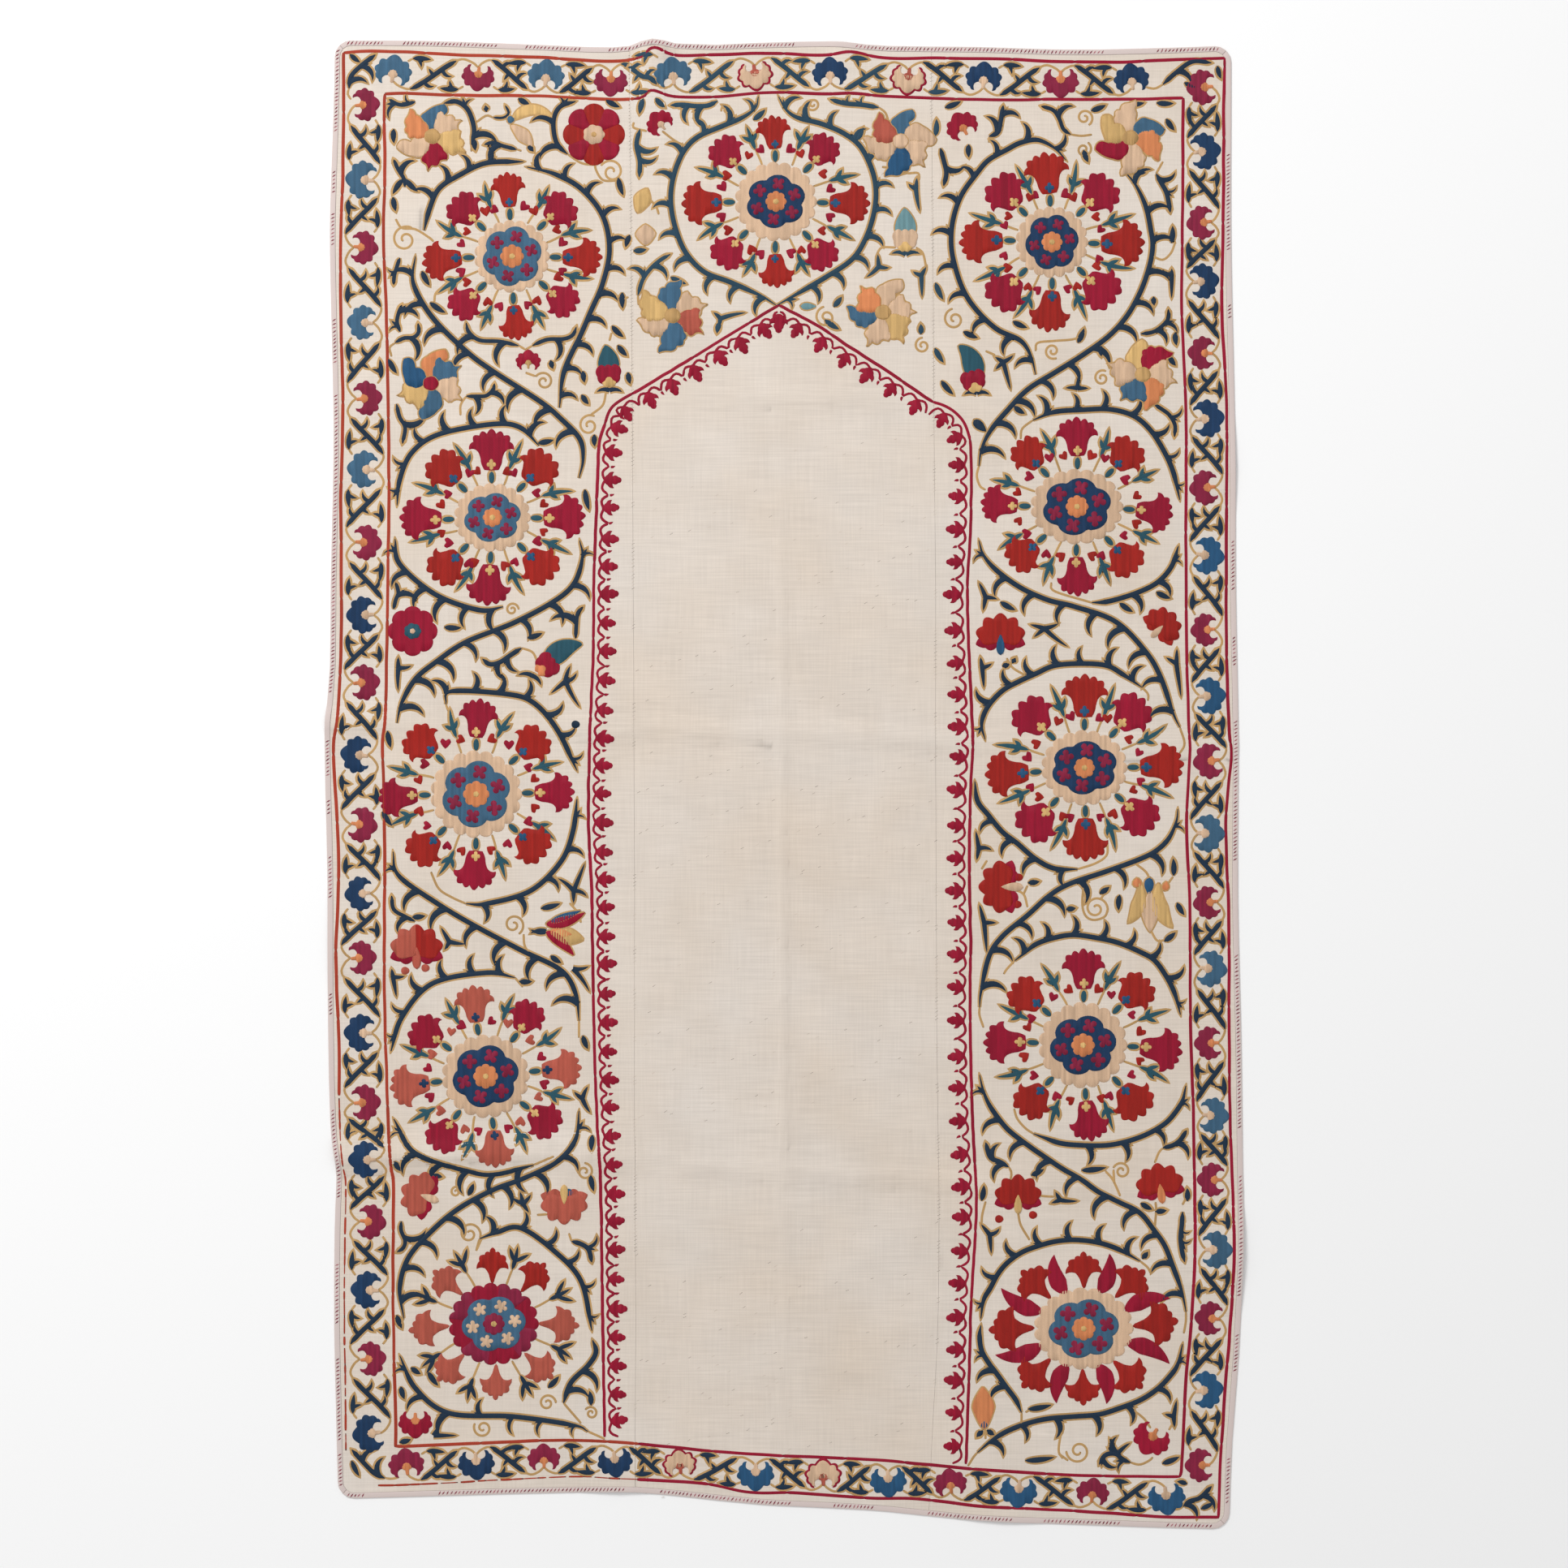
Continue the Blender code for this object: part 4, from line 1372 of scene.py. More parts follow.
VINES = records(Vine, [
    (8.4, "-cfff-", [], [(-532, 818), (-524, 850), (-510, 880), (-480, 900), (-440, 918), (-385, 920)]),
    (8.4, "F" * 11, [], [
        (-332, 556), (-325, 610), (-300, 665), (-285, 700), (-268, 740), (-258, 790), (-268, 840),
        (-300, 880), (-340, 902), (-380, 912)]),
    (8.4, "-" + "c" * 8, [], [
        (-303, 452), (-297, 480), (-302, 510), (-330, 540), (-360, 565), (-430, 610), (-470, 640),
        (-520, 690), (-548, 740), (-545, 780)]),
    (7.6, "cc", [(-382, 642)], [(-392, 648), (-420, 654), (-450, 656), (-466, 668), (-470, 682)]),
    (7.6, "C", [(-382, 642)], [(-372, 648), (-350, 657), (-325, 658), (-312, 664), (-307, 676)]),
    (8.4, "F" * 7, [], [
        (-362, 500), (-390, 527), (-430, 532), (-510, 517), (-550, 490), (-568, 450), (-572, 412)]),
    (8.4, "C" * 9, [], [
        (-572, 90), (-565, 120), (-545, 155), (-515, 180), (-470, 210), (-400, 238), (-340, 270),
        (-310, 297), (-298, 335), (-302, 360)]),
    (8.4, "c" * 6, [], [(-415, 262), (-450, 257), (-515, 280), (-568, 325), (-575, 362)]),
    (8.4, "f" * 7, [(-496, 108)], [
        (-500, 118), (-492, 137), (-410, 133), (-370, 120), (-335, 80), (-306, 20)]),
    (8.4, "F" * 5, [(-522, -130), (-510, -155), (-490, -168)], [
        (-470, -177), (-440, -177), (-375, -158), (-330, -115), (-312, -70), (-306, -22)]),
    (8.4, "c" * 8, [(-303, -375)], [
        (-303, -350), (-308, -310), (-330, -275), (-390, -245), (-460, -208), (-515, -175), (-570, -135),
        (-578, -100)]),
    (8.4, "F" * 6, [(-386, -300)], [(-398, -286), (-440, -279), (-520, -295), (-565, -345), (-581, -395)]),
    (8.4, "c" * 6, [(-340, -550)], [(-370, -563), (-425, -577), (-465, -573), (-545, -545), (-577, -495)]),
    (8.4, "C" * 9, [(-570, -805)], [
        (-562, -790), (-568, -745), (-555, -700), (-520, -660), (-480, -627), (-430, -600), (-385, -583),
        (-335, -558), (-308, -525), (-303, -483)]),
    (8.4, "f" * 6, [(-455, -690)], [
        (-450, -672), (-425, -663), (-390, -656), (-340, -690), (-300, -735), (-284, -808)]),
    (8.4, "CC-", [(-300, -945)], [(-326, -915), (-315, -885), (-290, -860), (-278, -840), (-283, -822)]),
    (8.4, "cccFccc", [(-265, -968)], [
        (-290, -957), (-310, -948), (-400, -935), (-495, -930), (-545, -893), (-568, -845)]),
    (8.4, "f" * 11, [], [
        (-12, 708), (-35, 722), (-80, 742), (-118, 757), (-145, 785), (-160, 820), (-167, 855),
        (-166, 885), (-158, 915), (-145, 940), (-125, 958), (-90, 973), (-60, 986), (-42, 1000),
        (-38, 1016)]),
    (8.4, "F" * 12, [], [
        (-10, 708), (15, 722), (60, 748), (100, 775), (120, 805), (132, 840), (136, 875), (130, 908),
        (113, 942), (88, 962), (55, 976), (20, 985), (3, 997), (-8, 1016)]),
    (8.4, "f" * 11, [], [
        (372, 605), (365, 632), (350, 655), (315, 672), (285, 700), (265, 730), (252, 768), (247, 800),
        (250, 835), (262, 870), (283, 900), (302, 922), (330, 938), (350, 948), (375, 952), (400, 940),
        (417, 922)]),
    (8.4, "C" * 12, [(298, 435), (290, 440), (285, 455)], [
        (288, 470), (292, 495), (305, 522), (330, 552), (360, 583), (400, 608), (440, 633), (480, 662),
        (507, 692), (527, 728), (540, 765), (545, 795), (542, 820), (535, 853), (520, 885), (503, 906)]),
    (8.4, "f" * 7, [(350, 510), (352, 525)], [
        (368, 538), (400, 550), (440, 553), (480, 554), (515, 545), (540, 525), (560, 495), (575, 462),
        (585, 420)]),
    (8.4, "c" * 9, [(585, 45), (592, 60)], [
        (585, 84), (575, 105), (557, 157), (535, 195), (490, 240), (430, 262), (390, 272), (350, 290),
        (315, 315), (295, 338), (288, 360)]),
    (8.4, "-FFF", [(395, 298), (400, 285)], [
        (455, 268), (480, 270), (520, 282), (552, 298), (573, 322), (583, 352)]),
    (8.4, "F" * 8, [(538, 123), (538, 133)], [
        (529, 143), (501, 162), (477, 175), (440, 178), (400, 175), (372, 163), (348, 152), (323, 138),
        (301, 114), (292, 89), (297, 66)]),
    (8.4, "ffff-", [(478, -86), (477, -105), (461, -117)], [
        (434, -126), (400, -125), (372, -111), (345, -88), (323, -71), (302, -46), (286, -25), (282, 4)]),
    (8.4, "C" * 8, [(295, -360), (289, -342)], [
        (289, -330), (291, -308), (303, -255), (323, -225), (360, -194), (391, -166), (421, -148),
        (477, -129), (526, -111), (551, -98), (569, -80), (580, -55), (582, -37)]),
    (8.4, "f" * 8, [(325, -281), (329, -274)], [
        (341, -261), (354, -251), (372, -237), (397, -228), (428, -223), (465, -228), (495, -235),
        (526, -248), (548, -261), (566, -286), (578, -311), (586, -341)]),
    (8.4, "c" * 10, [(591, -812), (594, -794)], [
        (594, -780), (591, -763), (585, -741), (575, -714), (563, -683), (548, -661), (526, -634),
        (495, -618), (465, -603), (440, -585), (412, -569), (385, -551), (366, -538), (338, -517),
        (323, -502), (305, -477), (295, -455), (289, -430)]),
    (8.4, "-FFFF", [(340, -480), (345, -495), (357, -509)], [
        (369, -517), (385, -523), (409, -531), (440, -534), (477, -534), (508, -528), (538, -517),
        (563, -502), (578, -486), (589, -468), (594, -446)]),
    (8.4, "F" * 7, [(542, -723), (537, -714)], [
        (526, -705), (495, -688), (465, -678), (434, -674), (409, -675), (385, -680), (354, -691),
        (332, -706), (317, -723), (305, -745), (295, -763), (291, -790)]),
    (8.4, "-fff-", [(349, -953), (351, -942)], [
        (351, -929), (343, -911), (329, -892), (314, -871), (302, -855), (292, -837), (289, -815),
        (291, -800)]),
    (8.4, "F" * 7, [(272, -1008), (280, -995)], [
        (286, -988), (305, -972), (329, -957), (360, -945), (391, -938), (428, -935), (465, -932),
        (495, -923), (526, -911), (551, -895), (569, -877), (582, -858), (589, -828)]),
])
SPRIGS = records(Vine, [
    (7.6, "Cc", [], [(-545, 1009), (-560, 1004), (-572, 1005), (-584, 1012)]),
    (8.0, "C-F-", [(-462, 935)], [
        (-462, 945), (-458, 965), (-462, 985), (-470, 1000), (-485, 1009), (-503, 1006)]),
    (5.0, "", [(-455, 978), (-440, 988)], [(-430, 985), (-415, 985), (-407, 992), (-412, 1003)]),
    (7.6, "f", [(-388, 936)], [(-395, 938), (-415, 943), (-430, 948), (-443, 945)]),
    (8.0, "ccf", [(-280, 915), (-300, 918)], [
        (-320, 931), (-334, 944), (-340, 962), (-340, 985), (-330, 1002), (-308, 1009)]),
    (7.6, "F", [], [(-560, 882), (-562, 895), (-570, 908), (-577, 923)]),
    (7.6, "F", [], [(-568, 778), (-572, 765), (-576, 752), (-577, 738)]),
    (7.6, "fF", [], [(-567, 668), (-572, 682), (-570, 695), (-565, 708)]),
    (7.6, "-C-", [(-580, 632), (-583, 645)], [
        (-575, 652), (-562, 659), (-548, 660), (-540, 668), (-541, 681)]),
    (7.6, "-c-", [], [(-573, 562), (-568, 542), (-560, 527), (-564, 503)]),
    (7.6, "FF", [(-478, 545), (-478, 560)], [
        (-470, 573), (-455, 573), (-440, 574), (-430, 583), (-428, 592)]),
    (7.6, "F", [], [(-577, 258), (-574, 272), (-570, 283), (-574, 298)]),
    (7.6, "c", [], [(-308, 215), (-307, 235), (-305, 252), (-297, 262)]),
    (8.0, "-ff-", [(-365, 182), (-372, 195)], [
        (-388, 201), (-405, 190), (-420, 180), (-435, 177), (-446, 185)]),
    (7.6, "f-", [], [(-545, -203), (-562, -195), (-577, -185), (-580, -165)]),
    (7.6, "-c-", [], [(-566, -646), (-566, -660), (-560, -675), (-563, -686), (-572, -692)]),
    (8.0, "f", [(-318, -664)], [(-314, -676), (-300, -680), (-289, -688), (-284, -707)]),
    (8.0, "-ff-", [], [(-98, 1010), (-112, 1003), (-130, 1002), (-150, 1004), (-168, 1003)]),
    (8.0, "-FF-", [(155, 977), (150, 992)], [(140, 1000), (115, 1004), (90, 1006), (68, 1012)]),
    (7.6, "-fF-", [(-215, 708)], [(-216, 722), (-209, 745), (-197, 762), (-182, 775), (-168, 783)]),
    (8.0, "-ff-", [], [(-213, 968), (-218, 945), (-213, 920), (-214, 897)]),
    (8.0, "fF", [(303, 948)], [(303, 957), (316, 963), (320, 978), (322, 990), (324, 1003)]),
    (7.6, "F", [(455, 960), (440, 958)], [(424, 960), (413, 968), (407, 983), (398, 996), (380, 1002)]),
    (8.0, "ff-", [(560, 920)], [(550, 902), (558, 888), (566, 872), (571, 845)]),
    (7.6, "-FF-", [], [(527, 665), (545, 668), (558, 676), (568, 688), (568, 702)]),
    (8.0, "-f-", [], [(231, 940), (236, 922), (240, 903), (236, 884)]),
    (7.6, "-f-", [], [(546, 562), (560, 553), (570, 545), (578, 530), (577, 513)]),
    (8.0, "-F-", [(548, -560), (554, -545)], [(560, -538), (575, -534), (586, -526), (595, -512)]),
    (8.0, "-ff-", [], [(589, -632), (588, -650), (586, -670), (588, -690), (592, -706)]),
    (8.0, "fF-", [(335, -585), (336, -574)], [(332, -566), (318, -558), (305, -552), (298, -530)]),
    (8.0, "fFf", [(545, -995), (540, -1000), (526, -1006)], [
        (512, -1003), (500, -998), (490, -990), (475, -992), (466, -1006)]),
])
LEAVES = records(Leaf, [
    (-458, 945, -90, 18), (-440, 998, 90, 10), (-375, 940, -60, 14), (-385, 1008, -35, 20),
    (-243, 883, -80, 28), (-254, 1005, -35, 24), (-578, 958, -95, 22), (-552, 884, -50, 27),
    (-572, 884, -130, 27), (-577, 857, -85, 22), (-531, 747, -68, 25), (-513, 703, -40, 28),
    (-232, 803, -115, 20), (-240, 715, -95, 24), (-247, 668, -50, 25), (-580, 617, -65, 26),
    (-344, 620, -80, 14), (-297, 602, -88, 18), (-230, 600, -85, 18), (-295, 568, -60, 18),
    (-352, 505, 5, 24), (-281, 508, -95, 18), (-293, 420, -85, 32), (-490, 230, -8, 26),
    (-368, 218, 12, 24), (-585, 66, -85, 26), (-588, -52, -62, 26), (-540, -197, 0, 20),
    (-345, -182, 8, 30), (-338, -260, -40, 20), (-382, -293, -5, 20), (-295, -382, -75, 22),
    (-285, -530, -100, 24), (-285, -590, -85, 26), (-462, -600, 60, 20), (-512, -580, -20, 16),
    (-572, -565, -65, 18), (-570, -795, -75, 22), (-545, -868, -40, 18), (-520, -880, -60, 26),
    (-340, -885, 40, 24), (-285, -908, 90, 22), (-565, -900, -80, 20), (-560, -972, 8, 18),
    (-184, 1006, -50, 20), (-212, 1002, -110, 24), (-36, 988, 35, 24), (113, 960, 55, 22),
    (70, 678, -40, 26), (80, 712, 45, 20), (203, 672, 85, 16), (-213, 788, 0, 20), (-157, 743, -30, 26),
    (-98, 675, -110, 18), (-240, 640, -55, 22), (250, 1003, 15, 26), (226, 970, 80, 26),
    (445, 928, -75, 20), (465, 998, 15, 24), (520, 1004, 0, 26), (563, 1005, -8, 26), (570, 974, -60, 22),
    (524, 903, -10, 22), (575, 812, 80, 26), (546, 714, -90, 14), (440, 662, 60, 24), (348, 678, -30, 24),
    (228, 728, -72, 28), (272, 936, -95, 20), (275, 663, -30, 24), (228, 633, -65, 26),
    (240, 585, -55, 28), (468, 640, -95, 16), (578, 658, -90, 20), (573, 625, -60, 18),
    (347, 552, -40, 20), (330, 262, -35, 26), (505, 260, -40, 24), (560, 278, -30, 24), (328, 175, 10, 12),
    (340, 182, 50, 10), (369, -146, 0, 18), (424, -185, 0, 15), (474, -158, 28, 18), (494, -175, -100, 24),
    (585, -185, -65, 22), (577, -123, 85, 26), (571, -227, 32, 22), (375, -575, 20, 22),
    (295, -605, 75, 24), (458, -571, 0, 38), (597, -607, 85, 20), (535, -625, -35, 20), (557, -632, 0, 18),
    (378, -923, 4, 36), (378, -1000, 0, 44), (572, -1001, 15, 28), (534, -697, 45, 14),
    (289, -960, 220, 14), (305, -959, -40, 14),
])
FORKS = records(Fork, [
    (-323, 152, [(82, 24, -20), (5, 22, 70), (-140, 28, 0), (-68, 44, 15)]),
    (-570, 172, [(95, 16, -10), (-95, 34, 10), (-10, 20, 40)]),
    (-311, -158, [(68, 44, 0), (130, 30, 25), (5, 22, -60), (-90, 18, 0)]),
    (-495, -233, [(120, 24, 0), (-15, 24, 15), (-110, 14, -20)]),
    (-578, -285, [(100, 12, 0), (-80, 30, 0), (-10, 18, 30)]),
    (-312, -273, [(-45, 42, -20), (-10, 24, 40)]),
    (-298, -465, [(75, 20, -20), (-70, 24, 20), (150, 16, -20)]),
    (-386, -620, [(165, 18, -30), (100, 18, 10), (35, 18, 30), (-60, 16, 10)]),
    (-518, -963, [(0, 34, 0), (60, 16, 0)]),
    (195, 880, [(85, 16, 0), (-85, 34, 10), (165, 14, -40)]),
    (180, 783, [(150, 22, 60), (30, 22, -60)]),
    (140, 765, [(95, 18, 0), (-130, 24, -20), (-20, 16, 30)]),
    (203, 752, [(170, 14, -30), (60, 14, 0), (-88, 32, 0)]),
    (-94, 688, [(20, 38, -15), (130, 14, 20), (-100, 14, 0)]),
    (573, 752, [(90, 10, 0), (-90, 34, 0), (170, 16, -40)]),
    (324, 624, [(150, 14, 0), (20, 18, 30), (-135, 16, 0), (-75, 42, 0)]),
    (434, 585, [(170, 18, 20), (0, 16, 0), (88, 16, 0)]),
    (298, 276, [(110, 24, 10), (-100, 20, 0), (0, 18, -20)]),
    (385, 230, [(165, 22, 0), (10, 22, 20), (-140, 20, 0), (-45, 44, 15)]),
    (293, 172, [(100, 16, 0), (-85, 30, 0), (10, 16, 30)]),
    (580, 178, [(88, 22, 0), (150, 18, 0), (-82, 50, 0)]),
    (288, -95, [(100, 26, 0), (15, 20, -50), (-100, 18, 0)]),
    (296, -205, [(105, 28, 0), (0, 18, 0), (-85, 44, 0)]),
    (408, -615, [(120, 14, 0), (-10, 26, 15), (-160, 14, 0)]),
    (304, -666, [(130, 20, 0), (5, 18, 60), (-85, 28, 0)]),
    (576, -935, [(80, 24, 0), (165, 14, 0), (-85, 16, 0)]),
    (492, -991, [(115, 26, 0), (50, 26, -20)]),
    (-258, 582, [(160, 20, 60), (20, 20, -60)]),
    (285, 578, [(160, 20, 60), (20, 20, -60)]),
    (-372, 160, [(150, 22, 60), (-20, 20, -60)]),
    (-352, -218, [(160, 24, 60), (200, 24, -60)]),
])
CURLS = records(Curl, [
    (-255, 905, 18, 150, -1), (-560, 805, 20, 60, 1), (-355, 595, 14, 150, -1), (-288, 530, 16, 60, 1),
    (-402, 258, 10, 0, 1), (-400, -208, 16, -60, 1), (-295, -573, 13, 90, -1), (-485, -603, 9, 0, 1),
    (-465, -665, 17, -20, 1), (-350, -915, 13, 0, 1), (-285, -930, 10, 150, -1), (-445, -952, 14, 150, 1),
    (-85, 997, 8, 200, -1), (43, 1005, 10, 200, 1), (62, 690, 16, 100, 1), (205, 648, 12, 90, 1),
    (444, 985, 13, -60, 1), (443, 938, 12, 60, -1), (397, 640, 12, -60, -1), (252, 687, 16, 100, 1),
    (470, 600, 12, 60, 1), (461, -184, 18, -20, 1), (499, -572, 13, 160, -1), (435, -986, 18, 180, 1),
])
TENDRILS = [
    [(-279, 918), (-278, 908), (-268, 893), (-250, 892), (-243, 895)],
    [(-574, 835), (-565, 822), (-545, 820), (-525, 808), (-518, 802)], [(-380, 643), (-379, 632)],
    [(-505, 735), (-515, 725), (-517, 712)], [(-230, 720), (-238, 716)], [(-258, 655), (-255, 667)],
    [(-263, 580), (-268, 560), (-285, 546)], [(-382, 608), (-368, 603)],
    [(-385, -222), (-383, -240), (-372, -255)], [(-317, -176), (-305, -190), (-300, -205)],
    [(-365, -637), (-350, -636)], [(-447, -672), (-455, -690)],
    [(182, 910), (182, 903), (198, 903), (200, 893)], [(182, 903), (165, 900), (158, 910), (145, 912)],
    [(165, 793), (145, 793), (138, 785)], [(195, 793), (205, 785), (210, 765)],
    [(20, 990), (25, 1000), (34, 1002)], [(-222, 978), (-222, 970), (-203, 965)],
    [(545, 780), (560, 775), (572, 785), (578, 800)],
    [(372, 640), (375, 652), (400, 655), (430, 658), (445, 668)], [(298, 640), (312, 634)],
    [(329, 186), (338, 172), (354, 162)], [(338, -155), (354, -163), (360, -182)],
    [(354, -163), (360, -150)],
    [(443, -148), (441, -178), (446, -195), (458, -201), (474, -196), (479, -184)],
    [(474, -162), (468, -170)], [(575, -137), (565, -151)], [(541, -214), (551, -231), (562, -231)],
    [(520, -118), (535, -130), (541, -142)], [(346, -634), (350, -652), (363, -674)],
    [(475, -572), (486, -585), (497, -609)], [(488, -590), (487, -570)],
    [(549, -618), (550, -630), (548, -655)], [(373, -607), (383, -609), (399, -610)],
    [(368, -582), (365, -590)], [(298, -617), (293, -637), (292, -650)],
    [(412, -997), (406, -985), (410, -955)], [(357, -929), (363, -925)],
    [(542, -952), (532, -938), (517, -926)], [(574, -946), (569, -955)], [(297, -952), (298, -968)],
    [(292, 184), (289, 190)], [(589, -622), (594, -612)], [(300, -113), (292, -126)],
    [(420, -1000), (406, -990)], [(-185, 842), (-190, 855), (-205, 870)],
    [(-180, 965), (-160, 950), (-142, 942)],
]


def part_of_cloth(x):
    """The part of the field that a place lies in: left or right of the niche, or over it."""
    return "left" if x < -PART_ENDS else "right" if x > PART_ENDS else "top"


class SUZANI_OT_vines(bpy.types.Operator):
    """Embroider the thorny vines, and the sprigs, leaves and gold tendrils among them"""

    bl_idname = "suzani.vines"
    bl_label = "Vines"

    def execute(self, context):
        tree = cloth_tree()
        for part in ("left", "top", "right"):
            silk = "slate" if part == "top" else "navy"
            vines = Needlework(f"vines_{part}", tree)
            for row in VINES:
                if part_of_cloth(row.points[1][0]) == part:
                    grow(vines, row, silk)
            vines.finish()
            sprigs = Needlework(f"sprigs_{part}", tree)
            for line in TENDRILS:
                if part_of_cloth(line[0][0]) == part:
                    sprigs.gold(through(line, 2.6), STITCH_RISE)
            for row in CURLS:
                if part_of_cloth(row.x) == part:
                    sprigs.gold(self.curl(row), STITCH_RISE)
            for row in SPRIGS:
                if part_of_cloth(row.points[0][0]) == part:
                    grow(sprigs, row, silk)
            for row in FORKS:
                if part_of_cloth(row.x) == part:
                    for heading, span, bend in row.leaves:
                        sprigs.bordered(hooked(row.x, row.y, heading, span, bend), 8.2, silk, lance_foot)
            for row in LEAVES:
                if part_of_cloth(row.x) == part:
                    sprigs.bordered(middled(row), LEAF_WIDTH, silk, leaf)
            sprigs.finish()
        return {"FINISHED"}

    def curl(self, row):
        """A spiral that winds inward from its outer end."""
        t = np.linspace(0, 1, 40)
        angle = np.radians(row.start) + row.way * t * 2 * np.pi * 1.45
        reach = row.reach * (1 - 0.82 * t)
        return evenly(np.column_stack([row.x + reach * np.cos(angle), row.y + reach * np.sin(angle)]), 2.6)


# The single flowers between the medallions. Petals are listed clockwise from the heading.

Pinwheel = namedtuple("Pinwheel", "x y heading petals heart")
Bloom = namedtuple("Bloom", "x y turn size top base calyx half", defaults=(None,))
Bud = namedtuple("Bud", "x y turn cap body foot span bend")
Petal = namedtuple("Petal", "x y heading span width bend silk")

PINWHEELS = records(Pinwheel, [
    (-520, 957, 98, "sky tan mustard crimson tan orange", "gold"),
    (-522, 592, 95, "orange sky tan sky mustard azure", "crimson"),
    (172, 950, 86, "sky tan tan azure tan salmon", "tan"),
    (146, 697, 78, "tan tan mustard tan sky orange", "gold"),
    (-165, 692, 95, "sky tan salmon sky tan mustard", "gold"),
    (512, 955, 100, "tan sky orange tan crimson mustard", "gold"),
    (530, 605, 116, "mustard crimson tan orange sky tan", "gold"),
])
BLOOMS = records(Bloom, [
    (-183, 976, 40, 0.62, "crimson", "crimson", "tan"),
    (264, 971, 30, 0.72, "crimson", "crimson", "orange"),
    (-378, 624, 0, 0.55, "crimson", "crimson", "gold"),
    (320, 224, 0, 1.05, "brick", "crimson", "azure"),
    (562, 236, -45, 0.86, "brick", "brick", "tan"),
    (-543, -238, 0, 1.12, "brick", "crimson", "salmon", "salmon"),
    (318, -152, 90, 1.12, "brick", "crimson", "tan"),
    (-540, -606, 70, 1.0, "salmon", "crimson", "tan"),
    (-325, -624, 180, 1.0, "salmon", "salmon", "mustard"),
    (346, -604, 0, 1.0, "brick", "crimson", "mustard"),
    (555, -588, 8, 1.02, "brick", "crimson", "orange"),
    (-545, -943, 180, 0.74, "crimson", "crimson", "orange"),
    (544, -966, 150, 0.84, "crimson", "crimson", "orange"),
])
BUDS = records(Bud, [
    (-258, 588, 4, "teal", "crimson", "mustard", 46, 20),
    (284, 580, 14, "teal", "crimson", "mustard", 62, 75),
    (179, 788, 0, "sage", "tan", "mustard", 48, 10),
    (-364, 165, -52, "teal", "crimson", "orange", 66, -60),
])
PETALS = records(Petal, [
    (-400, 982, 16, 66, 16, -100, "mustard"), (-404, 974, -42, 46, 20, -20, "tan"),
    (-410, 982, 0, 13, 12, 0, "sky"), (296, -954, 92, 64, 33, 0, "orange"),
    (296, -953, 90, 12, 12, 0, "azure"), (-216, 844, 70, 40, 25, -10, "mustard"),
    (-204, 796, 92, 32, 30, 0, "tan"), (526, -146, -100, 66, 21, -55, "mustard"),
    (554, -146, -80, 74, 23, 60, "mustard"), (541, -158, -90, 62, 25, 0, "tan"),
    (540, -138, -92, 26, 15, 0, "azure"), (522, -153, 90, 15, 14, 0, "orange"),
    (563, -158, 80, 15, 11, 0, "orange"), (-352, -207, 12, 62, 17, 36, "crimson"),
    (-346, -204, 20, 50, 11, 0, "azure"), (-352, -218, -38, 56, 16, -20, "crimson"),
    (-344, -220, -12, 50, 24, 0, "mustard"), (-346, -218, -8, 34, 14, 0, "orange"),
    (280, 538, -42, 26, 14, 0, "navy"), (24, 706, 0, 24, 11, 0, "sage"),
])
BERRIES = [
    ("salmon", -560, -276), ("salmon", -530, -272), ("brick", 347, -138), ("brick", 345, -178),
    ("brick", 318, -643), ("brick", 368, -637), ("navy", -308, 88), ("azure", -318, -604),
]
BLOOM_TOP = scallops(mirrored([
    (0, -14, 0.0), (-12, -17, 0.25), (-29, -10, 0.4), (-25, 9, 0.44), (-10, 19, 0.42)]))
BLOOM_BASE = scallops(mirrored([
    (0, -16, 0.0), (-9, -24, 0.2), (-21, -22, 0.1), (-35, -17, 0.14), (-24, -4, 0.1), (-8, 0, 0.0)]))
CURLED_PETALS = [
    scallops([
        (0, 0, 0.05), (-9, 7, 0.12), (-17, 24, 0.3), (-16, 38, 0.34), (-5, 47, 0.2), (6, 56, -0.1),
        (24, 58, 0.16), (19, 42, 0.14), (16, 24, 0.12), (9, 7, 0.05)]),
    scallops([
        (0, 0, 0.05), (-8, 6, 0.14), (-16, 24, 0.2), (-8, 42, 0.1), (22, 56, 0.3), (15, 30, 0.2),
        (9, 7, 0.05)]),
    scallops([
        (0, 0, 0.05), (-9, 7, 0.1), (-18, 22, 0.2), (-22, 40, -0.1), (-10, 41, 0.36), (4, 48, 0.0),
        (12, 60, -0.12), (14, 44, 0.34), (17, 28, 0.18), (9, 7, 0.05)]),
]
BUD_BODY = scallops(mirrored([(0, 2, 0.0), (-8, 3, 0.22), (-17, 15, 0.2), (-15, 30, 0.25), (-5, 30, 0.25)]))
BUD_FOOT = scallops(mirrored([
    (0, 0, 0.0), (-4, -2, 0.1), (-11, 6, 0.0), (-6, 9, 0.1), (-2, 14, 0.0)]), step=1.8)


